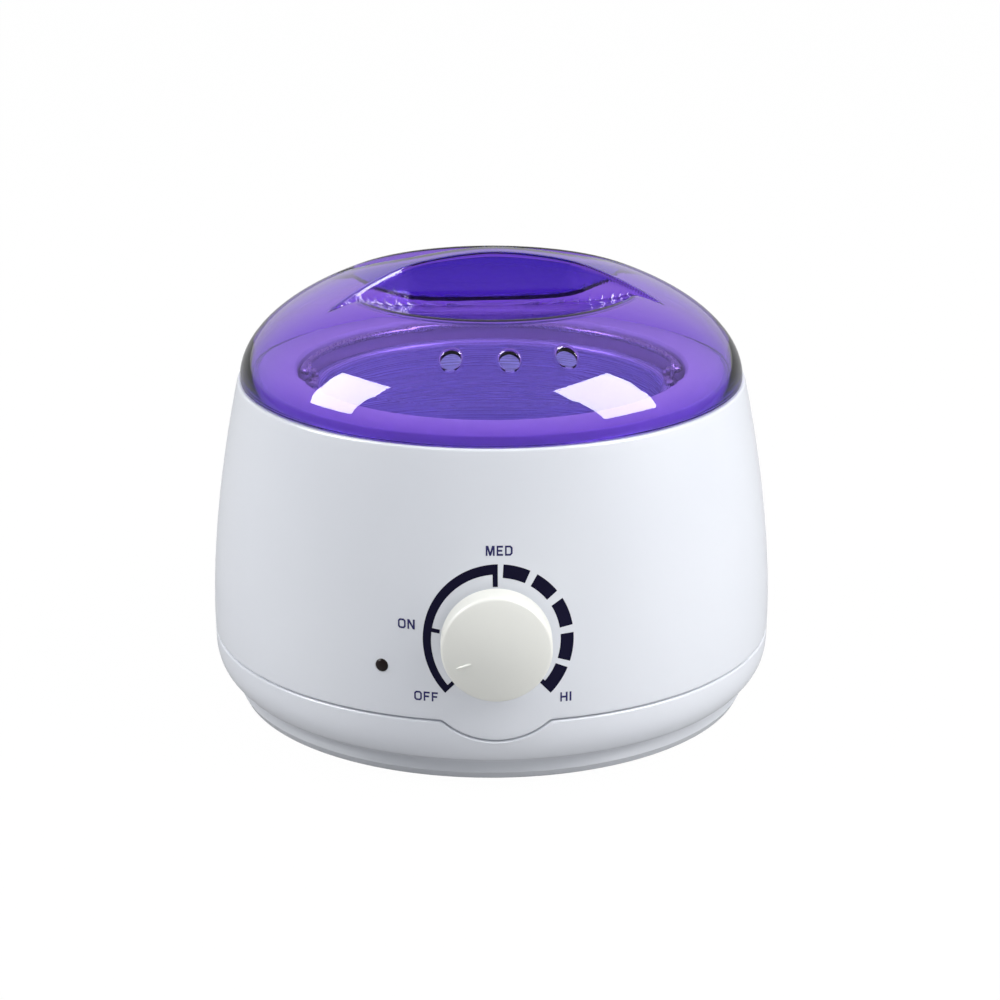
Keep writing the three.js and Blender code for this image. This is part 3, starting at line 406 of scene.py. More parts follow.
def painted_shade_below(look, share, low, high):
    """Painted shade: a moulded colour that darkens to a share of itself between two heights, downwards,
    standing in for the shade in the crease and on the skirt.
    """
    target = shader_of(look).inputs["Base Color"]
    height = node(look, "ShaderNodeSeparateXYZ", {"Vector": surface_point(look)}).outputs["Z"]
    step = node(look, "ShaderNodeMapRange",
                {"Value": height, "From Min": low, "From Max": high, "To Min": share, "To Max": 1.0})
    dim = node(look, "ShaderNodeVectorMath",
               {0: target.links[0].from_socket, "Scale": step.outputs["Result"]}, operation="SCALE")
    link(look, dim.outputs["Vector"], target)


def spun_look(name, color, shade, roughness, per_mm=2.4, depth=0.012, metal=1.0):
    """Spun metal: fine tool rings and uneven polish."""
    look = principled(name, color, roughness, Metallic=metal)
    point = surface_point(look)
    rings = noise(look, spun_point(look, point), per_mm, 4)
    varied_color(look, noise(look, point, 0.05, 3), shade, color)
    varied_gloss(look, rings, roughness * 0.75, roughness * 1.35)
    bumped(look, rings, depth)
    return look


def brushed_round(look, amount):
    """Fine grooves round the axis, which draw highlights out along the wall."""
    shader = shader_of(look)
    shader.inputs["Anisotropic"].default_value = amount
    grooves = node(look, "ShaderNodeTangent", direction_type="RADIAL", axis="Z")
    link(look, grooves.outputs["Tangent"], shader.inputs["Tangent"])


def metal_look(name, color, shade, roughness, grain=1.5, depth=0.006):
    """Pressed or turned small metal parts."""
    look = principled(name, color, roughness, Metallic=1.0)
    point = surface_point(look)
    varied_color(look, noise(look, point, 0.2, 3), shade, color)
    varied_gloss(look, noise(look, point, grain, 4), roughness * 0.8, roughness * 1.3)
    bumped(look, noise(look, point, grain * 2, 2, (1, 1, 0.1)), depth)
    return look


def felt_look(name, color, shade):
    """Glass-fibre felt: matted strands."""
    look = principled(name, color, 0.95, Sheen_Weight=0.4)
    point = surface_point(look)
    strands = noise(look, point, 1.6, 6, (1, 1, 0.25))
    varied_color(look, strands, shade, color)
    bumped(look, strands, 0.25)
    return look


def tinted_look():
    """The lid's clear violet plastic: tint from its thickness, polish with faint waves."""
    look = principled("violet_clear", (1, 1, 1), 0.02, Transmission_Weight=1.0, IOR=1.49)
    point = surface_point(look)
    varied_gloss(look, noise(look, point, 0.05, 1), 0.008, 0.02)
    bumped(look, noise(look, point, 0.03, 0), 0.01)
    tint = node(look, "ShaderNodeVolumeAbsorption", {"Color": (0.42, 0.1, 0.86, 1), "Density": 700.0})
    link(look, tint.outputs["Volume"], look.node_tree.nodes["Material Output"].inputs["Volume"])
    return look


shell_look = moulded_look("shell_white", (0.80, 0.82, 0.87), (0.78, 0.80, 0.855), 0.26, IOR=1.5)
knob_look = moulded_look("knob_ivory", (0.87, 0.87, 0.82), (0.85, 0.85, 0.795), 0.42)
base_look = moulded_look("base_white", (0.80, 0.82, 0.87), (0.78, 0.80, 0.855), 0.26, IOR=1.5)
# Painted shade: the base's colour darkens below the crease, in place of the shade that falls in the crease
# and on the skirt
painted_shade_below(base_look, SKIRT_PAINTED_SHADE, CREASE_Z - 1, CREASE_Z + 3)
lid_look = tinted_look()
rubber_look = moulded_look("black_rubber", (0.022, 0.022, 0.024), (0.03, 0.03, 0.031), 0.72, 1.4, 0.03)
pot_look = spun_look("spun_aluminium", (0.72, 0.78, 0.92), (0.68, 0.74, 0.88), 0.26, 3.5, 0.0012, 0.5)
brushed_round(pot_look, 0.75)
well_look = spun_look("well_aluminium", (0.70, 0.71, 0.73), (0.62, 0.63, 0.65), 0.36, 1.8)
steel_look = metal_look("plated_steel", (0.66, 0.67, 0.69), (0.58, 0.59, 0.62), 0.27)
pressed_look = metal_look("pressed_aluminium", (0.75, 0.76, 0.78), (0.68, 0.69, 0.71), 0.34)
brass_look = metal_look("turned_brass", (0.74, 0.53, 0.24), (0.66, 0.45, 0.19), 0.28)
mica_look = moulded_look("mica_band", (0.46, 0.36, 0.19), (0.34, 0.26, 0.13), 0.55, 0.6, 0.05)
wrap_look = felt_look("glass_felt", (0.80, 0.77, 0.68), (0.66, 0.63, 0.54))
block_look = moulded_look("heat_moulding", (0.78, 0.76, 0.70), (0.74, 0.72, 0.655), 0.45, 0.8, 0.012)
lens_look = moulded_look("lamp_red", (0.01, 0.003, 0.003), (0.007, 0.002, 0.002), 0.3, 0.3, 0.0,
                         Specular_IOR_Level=0.25)
red_sleeve = moulded_look("red_sleeve", (0.44, 0.03, 0.025), (0.37, 0.025, 0.02), 0.5, 1.2, 0.02)
blue_sleeve = moulded_look("blue_sleeve", (0.03, 0.08, 0.32), (0.025, 0.065, 0.27), 0.5, 1.2, 0.02)
ink_look = moulded_look("dial_ink", (0.0035, 0.0025, 0.02), (0.005, 0.004, 0.025), 0.5, 1.0, 0.0,
                        Specular_IOR_Level=0.1)
label_look = moulded_look("label_ink", (0.03, 0.028, 0.12), (0.04, 0.037, 0.14), 0.5, 1.0, 0.0,
                          Specular_IOR_Level=0.15)


# Camera, lights, floor

CAMERA_HEIGHT, CAMERA_REACH, CAMERA_SIDE = 352.4, 850.0, 2.87
CAMERA_PITCH, CAMERA_ORBIT = math.radians(18.67), math.radians(-1.1)
CAMERA_LENS = 96.62
FLOOR_SEEN, FLOOR_REFLECTED = 0.97, 0.15
KEY_GLOW, FILL_GLOW, SHEEN_GLOW, SHEEN_STEP = 6.1, 1.8, 17.5, 20.0


def in_view_frame(point):
    """A point given to the camera's right, away from it and up, turned into the frame."""
    turn = Matrix.Rotation(CAMERA_ORBIT, 4, "Z")
    spot = turn @ Vector(point)
    return Vector((spot.x, spot.y + AXIS_Y, spot.z)) * MM


def make_camera():
    camera = bpy.data.objects.new("camera", bpy.data.cameras.new("camera"))
    camera.data.lens = CAMERA_LENS
    camera.data.sensor_width = 36
    camera.data.clip_end = 50
    camera.location = in_view_frame((CAMERA_SIDE, -CAMERA_REACH, CAMERA_HEIGHT))
    camera.rotation_euler = (math.pi / 2 - CAMERA_PITCH, 0, CAMERA_ORBIT)
    bpy.context.scene.collection.objects.link(camera)
    bpy.context.scene.camera = camera


def softbox(name, centre, across, up, radiance, sees, forward=0.0):
    """A rectangular lamp given by its centre and half extents, seen by some kinds of ray."""
    x = in_view_frame(across) - in_view_frame((0, 0, 0))
    y = in_view_frame(up) - in_view_frame((0, 0, 0))
    lamp = bpy.data.lights.new(name, "AREA")
    lamp.shape = "RECTANGLE"
    lamp.size, lamp.size_y = 2 * x.length, 2 * y.length
    lamp.energy = radiance * math.pi * lamp.size * lamp.size_y
    obj = bpy.data.objects.new(name, lamp)
    place = in_view_frame(centre)
    x.normalize()
    y = (y - x * y.dot(x)).normalized()
    z = x.cross(y)
    if z.dot(in_view_frame((0, 0, 100)) - place) > 0:
        x, z = -x, -z
    place -= z * forward * MM
    obj.matrix_world = Matrix.Translation(place) @ Matrix((x, y, z)).transposed().to_4x4()
    obj.visible_camera = False
    obj.visible_diffuse = "diffuse" in sees
    obj.visible_glossy = "glossy" in sees
    obj.visible_transmission = "transmission" in sees
    bpy.context.scene.collection.objects.link(obj)


def make_lights():
    """Two high lamps, each with a brighter one for reflections just before it, and a low fill."""
    high = {
        "softbox_left": ((-853, -146, 591 + LID_Z), (169, 106, 270), (107, -195, -9)),
        "softbox_right": ((728, -306, 680 + LID_Z), (120, 215, -13), (197, -131, -332)),
    }
    fill = ((900, -520, 190), (170, 290, 0), (0, 0, 170))
    for name, place in high.items():
        softbox(name, *place, KEY_GLOW, ("diffuse", "transmission"))
    softbox("fill_right", *fill, FILL_GLOW, ("diffuse",))
    for name, place in high.items():
        softbox(name + "_sheen", *place, SHEEN_GLOW, ("glossy",), SHEEN_STEP)


def rays(look):
    """The kinds of ray, and those that reach the eye straight or through the lid."""
    kind = node(look, "ShaderNodeLightPath").outputs
    seen = node(look, "ShaderNodeMath",
                {0: kind["Is Camera Ray"], 1: kind["Is Transmission Ray"]}, operation="MAXIMUM")
    return kind, seen.outputs[0]


def mixed(look, fac, first, second):
    return node(look, "ShaderNodeMixShader", {"Fac": fac, 1: first, 2: second}).outputs[0]


def make_world():
    """Plain light for surfaces, a white backdrop for the eye, and a room that pales towards
    the horizon behind the object for reflections."""
    world = bpy.data.worlds.new("studio")
    world.use_nodes = True
    bpy.context.scene.world = world
    room = world.node_tree.nodes["Background"]
    room.inputs["Color"].default_value = (0.95, 0.975, 1.0, 1)
    room.inputs["Strength"].default_value = 0.5
    kind, seen = rays(world)
    through = node(world, "ShaderNodeMapRange",
                   {"Value": kind["Is Transmission Ray"], "To Min": 1.0, "To Max": 0.8})
    white = node(world, "ShaderNodeBackground",
                 {"Color": (1, 1, 1, 1), "Strength": through.outputs["Result"]})
    where = node(world, "ShaderNodeTexCoord").outputs["Generated"]
    lean = node(world, "ShaderNodeVectorMath", {0: where, 1: (0.0, 0.45, -0.9)}, operation="DOT_PRODUCT")
    fade = node(world, "ShaderNodeMapRange",
                {"Value": lean.outputs["Value"], "From Min": -0.75, "From Max": 0.1,
                 "To Min": 0.3, "To Max": 1.0})
    sheen = node(world, "ShaderNodeBackground", {"Strength": fade.outputs["Result"]})
    inner = mixed(world, kind["Is Glossy Ray"], room.outputs[0], sheen.outputs[0])
    outer = mixed(world, seen, inner, white.outputs[0])
    link(world, outer, world.node_tree.nodes["World Output"].inputs["Surface"])


def make_floor():
    """A pale floor that the eye sees as white, like the backdrop."""
    half = 6.0
    mesh = bpy.data.meshes.new("floor")
    corners = [(-half, -half, 0), (half, -half, 0), (half, half, 0), (-half, half, 0)]
    mesh.from_pydata(corners, [], [(0, 1, 2, 3)])
    floor = bpy.data.objects.new("floor", mesh)
    bpy.context.scene.collection.objects.link(floor)
    look = principled("pale_floor", (0.38, 0.38, 0.385), 0.7)
    kind, seen = rays(look)
    direct = node(look, "ShaderNodeMath", {0: seen, 1: FLOOR_SEEN}, operation="MULTIPLY")
    mirrored = node(look, "ShaderNodeMath",
                    {0: kind["Is Glossy Ray"], 1: FLOOR_REFLECTED}, operation="MULTIPLY")
    share = node(look, "ShaderNodeMath",
                 {0: direct.outputs[0], 1: mirrored.outputs[0]}, operation="MAXIMUM")
    glow = node(look, "ShaderNodeEmission", {"Strength": 1.02})
    surface = mixed(look, share.outputs[0], shader_of(look).outputs[0], glow.outputs[0])
    link(look, surface, look.node_tree.nodes["Material Output"].inputs["Surface"])
    mesh.materials.append(look)


make_camera()
make_lights()
make_world()
make_floor()
bpy.context.scene.view_settings.view_transform = "Standard"


# Shell and base

def seam_edge(radius, z, way):
    """The small rounding where a wall's outer face turns into the seam, from the seam outwards."""
    turns = np.radians([0, 30, 60, 90])
    return [
        (radius - SEAM_EDGE * (1 - math.sin(a)), z + way * SEAM_EDGE * (1 - math.cos(a)))
        for a in turns
    ]


def shell_column(angle):
    low = SEAM_Z + SEAM_GAP / 2
    if math.cos(angle) > 0:
        low = seam_height(SEAM_R * math.sin(angle), SEAM_GAP / 2)
    top = 34.0
    start = low + SEAM_EDGE
    lower = [start + (top - start) * s for s in (0.12, 0.25, 0.4, 0.56, 0.72, 0.86, 1.0)]
    side = [(outline_radius(z), z) for z in lower]
    side += [(side_radius(z), z) for z in np.linspace(top, RIM_Z - 1.0, 26)[1:]]
    crown = rounded([
        (side_radius(RIM_Z - 2), RIM_Z - 2, 0),
        (RIM_R - 0.02, RIM_Z, 0.95),
        (CHANNEL_R, RIM_Z, 0.3),
        (CHANNEL_R, RIM_Z - CHANNEL_DEPTH, 0.3),
        (SPIGOT_R, RIM_Z - CHANNEL_DEPTH, 0.3),
        (SPIGOT_R, RIM_Z + SPIGOT_RISE, 0.5),
        (DECK_EDGE_R - 0.9, DECK_Z, 1.2),
        (COLLAR_R, DECK_Z - 0.9, 0.7),
        (COLLAR_R, LEDGE_Z, 0.3),
        (LEDGE_R, LEDGE_Z, 0.4),
        (LEDGE_R, LEDGE_Z - SHELL_WALL, 0.4),
        (COLLAR_R + SHELL_WALL, LEDGE_Z - SHELL_WALL, 0),
        (COLLAR_R + SHELL_WALL, DECK_Z - SHELL_WALL - 1, 0),
        (SPIGOT_R - SHELL_WALL, RIM_Z + SPIGOT_RISE - SHELL_WALL, 0),
        (SPIGOT_R - SHELL_WALL, RIM_Z - SHELL_WALL, 0),
        (side_radius(RIM_Z - SHELL_WALL) - SHELL_WALL, RIM_Z - SHELL_WALL, 0),
    ])[1:]
    inner = [(side_radius(z) - SHELL_WALL, z) for z in np.linspace(RIM_Z - 6, top, 9)]
    foot_radius = outline_radius(low)
    inner.append((foot_radius - SHELL_WALL, low))
    return inner[-1:] + seam_edge(foot_radius, low, 1) + side + crown + inner[:-1]


def make_shell():
    angles = seam_columns()
    points, faces = wrapped([shell_column(a) for a in angles], angles, True)
    shell = mesh_object("shell_body", points, faces)
    dial_points, dial_faces = cylinder(SPINDLE_BORE, 80, 100, 32)
    lamp_points, lamp_faces = cylinder(LENS_R + 0.12, 80, 100, 40)
    carve(shell, [
        mesh_object("dial_cut", towards_dial(dial_points, DIAL_Z), dial_faces),
        mesh_object("lamp_cut", towards_dial(lamp_points, LAMP_Z, -LAMP_TURN), lamp_faces),
    ])
    finish_piece(shell, shell_look, "housing", ["upper_shell"])


def base_column(angle):
    front = math.cos(angle) > 0
    x = SEAM_R * math.sin(angle)
    high = seam_height(x, -SEAM_GAP / 2) if front else SEAM_Z - SEAM_GAP / 2
    in_dip = front and high < SEAM_Z - SEAM_GAP / 2 - 0.02
    lip = high if in_dip else SEAM_Z + SEAM_GAP / 2 + LIP_RISE
    top_radius = band_radius(high)
    under = rounded([
        (0, FLOOR_LOW, 0),
        (SKIRT_R - SHELL_WALL, FLOOR_LOW, 0.6),
        (SKIRT_R - SHELL_WALL, SKIRT_Z, 0.4),
        (SKIRT_R, SKIRT_Z, 0.5),
        (CREASE_R - 0.9, CREASE_Z - 4.0, 0),
    ])
    crease = [(CREASE_R - CREASE_DEPTH * dip, CREASE_Z + rise) for dip, rise in CREASE_SHAPE]
    start = CREASE_Z + CREASE_SHAPE[-1][1] + 0.4
    rows = [start + (high - SEAM_EDGE - start) * s for s in np.linspace(0, 0.97, 15)]
    band = [(band_radius(z), z) for z in rows]
    edge = seam_edge(top_radius, high, -1)[::-1]
    lip_radius = min(top_radius - SHELL_WALL, LIP_R)
    lip_inside = top_radius - SHELL_WALL - 1.8 if in_dip else LIP_INSIDE
    inside = [
        (lip_radius, high),
        (lip_radius - 0.05, lip),
        (lip_inside, lip),
        (lip_inside, LIP_ROOT),
        (band_radius(14) - SHELL_WALL, 14),
        (band_radius(11) - SHELL_WALL, 11),
        (CREASE_R - SHELL_WALL, FLOOR_HIGH),
        (0, FLOOR_HIGH),
    ]
    return under + crease + band + edge + inside


def make_base():
    angles = seam_columns()
    points, faces = wrapped([base_column(a) for a in angles], angles, False)
    base = mesh_object("base_body", points, faces)
    gland_points, gland_faces = cylinder(GLAND_R + 0.15, 75, 100, 40)
    carve(base, [mesh_object("gland_cut", towards_dial(gland_points, GLAND_Z, math.pi), gland_faces)])
    finish_piece(base, base_look, "housing", ["base_pan"])


# Lid

def dome_height(r, inset=0.0):
    share = np.clip(r / (LID_R - inset), 0, 1) ** DOME_POWER
    return (LID_H - inset) * np.sqrt(np.maximum(0, 1 - share))


def bridge_edge(x, inset):
    """Half the bridge's width along its length, and how much an edge's slant stretches it."""
    past = np.abs(x) - BRIDGE_CORNER
    root = np.sqrt(past ** 2 + BRIDGE_BEND ** 2)
    width = BRIDGE_TOP - BRIDGE_WALL * inset + BRIDGE_FLARE * (0.5 * (past + root))
    lean = BRIDGE_FLARE * 0.5 * (1 + past / root)
    return width, np.sqrt(1 + lean ** 2)


def edge_distance(x, y, inset):
    """How far a point lies beyond the bridge's top edge, into a recess."""
    width, stretch = bridge_edge(x, inset)
    return (np.abs(y) - width) / stretch


def lid_height(x, y, inset=0.0):
    """The lid's height above its rim, for its outer skin or, inset by its wall, its inner one."""
    r = np.hypot(x, y)
    dome = dome_height(r, inset)
    away = edge_distance(x, y, inset)
    run = np.clip((TAIL_R - r) / TAIL_RUN, 0.001, 1)
    tail = TAIL_DEPTH * run * np.clip(1 - away / (TAIL_WIDTH * run), 0, 1)
    dish = DISH_Z - inset + DISH_RISE * (r / DISH_R) ** DISH_POWER
    wall = dome - WALL_SLOPE * away
    bridge = soft_min(dome, wall, 3.0)
    bowl = np.minimum(soft_min(dome, dish, 0.9), dome - tail)
    foot = np.clip((dome - bowl) / 5, 0.001, 1) * 1.4
    height = soft_max(bridge, bowl, foot)
    if inset == 0:
        for cx, cy in VENTS:
            away = np.hypot(x - cx, y - cy)
            height = height - 0.45 * np.clip(1 - (away - VENT_R) / 0.5, 0, 1) ** 2
    return height


def circle(radius, count, cx=0.0, cy=0.0, start=0.0):
    a = start + np.linspace(0, 2 * math.pi, count, endpoint=False)
    return np.stack([cx + radius * np.cos(a), cy + radius * np.sin(a)], 1)


def lid_plan(inset):
    """Plan points of one skin, its edges to keep, and the loops of its vents."""
    points, edges, loops = [], [], []

    def add_line(line, closed):
        start = len(points)
        points.extend(line.tolist())
        count = len(line)
        edges.extend((start + i, start + i + 1) for i in range(count - 1))
        if closed:
            edges.append((start + count - 1, start))
        return list(range(start, start + count))

    border = add_line(circle(LID_INNER_EDGE - inset, LID_STEPS), True)
    for cx, cy in VENTS:
        loops.append(add_line(circle(VENT_R, 40, cx, cy), True))
        for grow in (0.17, 0.34, 0.55, 1.1):
            points.extend(circle(VENT_R + grow, 40, cx, cy).tolist())

    t = np.concatenate([np.linspace(0, 21, 27), np.linspace(21.6, 29.4, 14), np.linspace(30.2, 56, 34)])
    xs = np.concatenate([-t[:0:-1], t])
    steps = [-1.6, -0.8, -0.45, -0.25, -0.1, 0.05, 0.2, 0.4, 0.7, 1.0]
    steps += [1.3, 1.6, 1.85, 2.1, 2.35, 2.6, 2.9, 3.4, 4.2]
    width, stretch = bridge_edge(xs, inset)
    features = []
    for side in (-1, 1):
        for step in steps:
            features.append(np.stack([xs, side * (width + step * stretch)], 1))
    for radius in (47.6, 48.6, 49.4, 50.1, 50.8, 51.6, 52.6):
        ring = circle(radius, 200)
        clear = np.abs(edge_distance(ring[:, 0], ring[:, 1], inset) - 1.3) > 3.6
        features.append(ring[clear])
    features = np.concatenate(features)
    points.extend(features.tolist())

    base = []
    for radius in np.arange(1.9, LID_INNER_EDGE - inset - 1.0, 1.9):
        base.append(circle(radius, max(6, int(2 * math.pi * radius / 1.9)), start=radius))
    base = np.concatenate([np.zeros((1, 2))] + base)
    distance = edge_distance(base[:, 0], base[:, 1], inset)
    near_wall = (distance > -2.4) & (distance < 5.0) & (np.abs(base[:, 0]) < 55)
    r = np.hypot(base[:, 0], base[:, 1])
    near_lip = (r > 46.8) & (r < 53.4)
    near_vent = np.zeros(len(base), bool)
    for cx, cy in VENTS:
        near_vent |= np.hypot(base[:, 0] - cx, base[:, 1] - cy) < VENT_R + 2.0
    points.extend(base[~(near_wall | near_lip | near_vent)].tolist())
    return points, edges, border, loops


def lid_skin(inset):
    """One skin of the lid as 3-D points, triangles, its border and its vent loops."""
    points, edges, border, loops = lid_plan(inset)
    made = delaunay_2d_cdt([Vector(p) for p in points], edges, [], 0, 1e-5)
    verts, tris, origins = made[0], made[2], made[3]
    where = {}
    for new, olds in enumerate(origins):
        for old in olds:
            where[old] = new
    flat = np.array([(v.x, v.y) for v in verts])
    keep = []
    limit = LID_INNER_EDGE - inset + 0.01
    for tri in tris:
        mx, my = flat[list(tri)].mean(0)
        if math.hypot(mx, my) > limit:
            continue
        if any(math.hypot(mx - cx, my - cy) < VENT_R - 0.02 for cx, cy in VENTS):
            continue
        keep.append(tuple(tri))
    z = lid_height(flat[:, 0], flat[:, 1], inset)
    solid = np.column_stack([flat, z])
    return solid, keep, [where[i] for i in border], [[where[i] for i in loop] for loop in loops]


def dome_rings(inset):
    """Rings from the skin's border down the dome to the rim."""
    radius, height = LID_R - inset, LID_H - inset
    top = math.asin(min(1.0, float(dome_height(np.float64(LID_INNER_EDGE - inset), inset)) / height))
    rings = []
    for angle in np.linspace(top, 0, 27)[1:]:
        r = radius * math.cos(angle) ** (2 / DOME_POWER)
        z = height * math.sin(angle)
        if inset:
            r -= (RIM_WALL - SKIN_WALL) * max(0.0, 1 - z / RIM_BAND) ** 1.3
        rings.append((r, z))
    return rings


def make_lid():
    points, faces = [], []
    skins = []
    for inset in (0.0, SKIN_WALL):
        skin, tris, border, loops = lid_skin(inset)
        start = len(points)
        points.extend(skin.tolist())
        faces.extend(tuple(start + i for i in tri) for tri in tris)
        edge = [start + i for i in border]
        rings = dome_rings(inset)
        rounding = 0.35
        if inset == 0:
            rings = rings[:-1] + [(LID_R, rounding), (LID_R - 0.1, 0.1), (LID_R - rounding, 0.0)]
        else:
            low = LID_R - RIM_WALL
            rings = rings[:-1] + [(low, rounding), (low + 0.1, 0.1), (low + rounding, 0.0)]
        rings = [ring for ring in rings if ring[1] < rings[0][1] + 1e-6]
        for r, z in rings:
            ring = []
            for k in range(LID_STEPS):
                a = 2 * math.pi * k / LID_STEPS
                ring.append(len(points))
                points.append((r * math.cos(a), r * math.sin(a), z))
            for k in range(LID_STEPS):
                n = (k + 1) % LID_STEPS
                faces.append((edge[k], edge[n], ring[n], ring[k]))
            edge = ring
        skins.append((edge, [[start + i for i in loop] for loop in loops]))
    for a, b in [(skins[0][0], skins[1][0])] + list(zip(skins[0][1], skins[1][1])):
        for k in range(len(a)):
            n = (k + 1) % len(a)
            faces.append((a[k], a[n], b[n], b[k]))
    turn = Matrix.Translation((0, 0, LID_Z)) @ Matrix.Rotation(LID_TURN, 4, "Z")
    lid = mesh_object("lid_dome", placed(points, turn), faces)
    finish_piece(lid, lid_look, "lid", ["lid"], sharp=50)


# Well, pot and bail

def make_well():
    outer = WELL_R + WELL_WALL
    points, faces = turned(rounded([
        (0, WELL_FLOOR - 1.5, 0),
        (outer, WELL_FLOOR - 1.5, 6.2),
        (outer, FLANGE_Z - FLANGE_THICK, 0.4),
        (FLANGE_R, FLANGE_Z - FLANGE_THICK, 0.4),
        (FLANGE_R, FLANGE_Z, 0.4),
        (WELL_R, FLANGE_Z, 0.8),
        (WELL_R, WELL_FLOOR, 5.0),
        (0, WELL_FLOOR, 0),
    ], 8), 128)
    well = mesh_object("heated_well", points, faces)
    finish_piece(well, well_look, "housing", ["heater_pan"])


def make_pot():
    top = POT_R + POT_WALL
    points, faces = turned(rounded([
        (0, POT_BOTTOM + POT_HOLLOW, 0),
        (POT_RING_R - 1, POT_BOTTOM + POT_HOLLOW, 0.6),
        (POT_RING_R, POT_BOTTOM, 0.6),
        (top - POT_TAPER, POT_BOTTOM, 6.5),
        (top, POT_RIM_LOW, 0.5),
        (POT_RIM_R, POT_RIM_LOW, 1.1),
        (POT_RIM_R, POT_RIM_HIGH, 1.15),
        (POT_R + 0.35, POT_RIM_HIGH, 1.4),
        (POT_R, POT_RIM_LOW + 0.6, 0.9),
        (POT_R - POT_TAPER, POT_BOTTOM + 1.5, 5.3),
        (0, POT_BOTTOM + 1.5, 0),
    ], 8), 144)
    finish_piece(mesh_object("pot_body", points, faces), pot_look, "pot", ["inner_pot"], 40)


def make_bail():
    sides = 16
    end = [Vector((BAIL_R - BAIL_END, 0, PIVOT_Z)), Vector((BAIL_R - BAIL_STRAIGHT, 0, PIVOT_Z))]
    for t in np.linspace(0, 1, 7):
        a = t * math.pi / 2
        x = BAIL_R - BAIL_BEND + BAIL_BEND * math.sin(a)
        end.append(Vector((x, BAIL_BEND - BAIL_BEND * math.cos(a), PIVOT_Z)))
    start = math.asin(BAIL_BEND / BAIL_R)
    turns = np.linspace(start, math.pi - start, 90)[1:-1]
    hoop = [Vector((BAIL_R * math.cos(a), BAIL_R * math.sin(a), PIVOT_Z)) for a in turns]
    path = end + hoop + [Vector((-p.x, p.y, p.z)) for p in end[::-1]]
    up = Vector((0, 0, 1))
    points = []
    for i, p in enumerate(path):
        ahead = (path[min(i + 1, len(path) - 1)] - path[max(i - 1, 0)]).normalized()
        side = ahead.cross(up).normalized()
        for k in range(sides):
            a = 2 * math.pi * k / sides
            points.append(tuple(p + (side * math.cos(a) + up * math.sin(a)) * BAIL_WIRE))
    bail = mesh_object("bail_loop", points, tube_faces(len(path), sides))
    finish_piece(bail, steel_look, "bail", ["bail_wire"], 50)


def make_ear(name, side):
    """A riveted foot along the rim with an upright eye at its middle."""
    foot = box_shape((EAR_INSIDE, EAR_FACE), (-EAR_HALF, EAR_HALF), (EAR_LOW, EAR_LOW + EAR_THICK))
    turns = np.linspace(-math.pi / 2, math.pi / 2, 17)
    outline = [(-TAB_R, EAR_LOW + TAB_SUNK), (TAB_R, EAR_LOW + TAB_SUNK)]
    outline += [(TAB_R * math.sin(a), PIVOT_Z + TAB_R * math.cos(a)) for a in turns[::-1]]
    tab_points = [(x, y, z) for x in (EAR_FACE - TAB_THICK, EAR_FACE) for y, z in outline]
    points, faces = merged(foot, (tab_points, tube_faces(2, len(outline))))
    ear = mesh_object(name, placed(points, Matrix.Rotation(0 if side > 0 else math.pi, 4, "Z")), faces)
    eye_points, eye_faces = cylinder(EYE_R, 50, 70, 24)
    turn = math.pi / 2 if side > 0 else -math.pi / 2
    carve(ear, [mesh_object("eye_cut", towards_dial(eye_points, PIVOT_Z, turn), eye_faces)])
    bevel = ear.modifiers.new("soft", "BEVEL")
    bevel.width, bevel.segments, bevel.limit_method = EAR_EDGE * MM, 2, "ANGLE"
    apply_modifiers(ear)
    node_name = "bail_ear_right" if side > 0 else "bail_ear_left"
    finish_piece(ear, steel_look, "pot", [node_name], 40)


def make_rivets():
    for i, (sx, sy) in enumerate([(-1, -1), (-1, 1), (1, -1), (1, 1)]):
        head = [(0, RIVET_LOW), (RIVET_R, RIVET_LOW), (RIVET_R, RIVET_TOP), (RIVET_HEAD_R, RIVET_TOP)]
        turns = np.linspace(0.15, math.pi / 2, 7)[:-1]
        head += [(RIVET_HEAD_R * math.cos(a), RIVET_TOP + RIVET_HEAD * math.sin(a)) for a in turns]
        head += [(0, RIVET_TOP + RIVET_HEAD)]
        points, faces = turned(head, 24)
        rivet = mesh_object(f"rivet_{i + 1}", moved(points, sx * RIVET_X, sy * RIVET_Y), faces)
        finish_piece(rivet, pressed_look, "pot", [f"ear_rivet_{i + 1}"], 40)


# Dial, lamp and print

def make_knob():
    back, face = KNOB_BACK, KNOB_BACK + KNOB_DEPTH
    profile = rounded([
        (0, back + KNOB_BORE, 0),
        (KNOB_BORE_R, back + KNOB_BORE, 0.2),
        (KNOB_BORE_R, back, 0.2),
        (KNOB_BASE_R, back, 0.3),
        (KNOB_FACE_R + 0.1, face - KNOB_DOME, KNOB_EDGE),
        *[(KNOB_FACE_R * s, face - KNOB_DOME * s ** 2, 0) for s in KNOB_ROWS],
        (0, face, 0),
    ], 9)
    points, faces = turned(profile, 160)
    a, b = POINTER_REACH
    ridge_points = []
    rows = [(0, 0.5), (0.12, 0.86), (0.3, 1.0), (0.7, 1.0), (0.88, 0.86), (1.0, 0.5)]
    section = [(-1, 0), (-0.8, 0.62), (-0.35, 0.95), (0, 1), (0.35, 0.95), (0.8, 0.62), (1, 0)]
    for share, size in rows:
        out = a + (b - a) * share
        low = face - KNOB_DOME * (out / KNOB_FACE_R) ** 2 - 0.4
        for across, up in section:
            ridge_points.append((across * POINTER_HALF * size, out, low + POINTER_RISE * up * size))
    ridge_points = placed(ridge_points, Matrix.Rotation(POINTER_TURN, 4, "Z"))
    cap = towards_dial(points, DIAL_Z), faces
    pointer = towards_dial(ridge_points, DIAL_Z), tube_faces(len(rows), len(section))
    knob = mesh_object("dial_knob", *merged(cap, pointer))
    finish_piece(knob, knob_look, "control", ["control_knob"], 40)


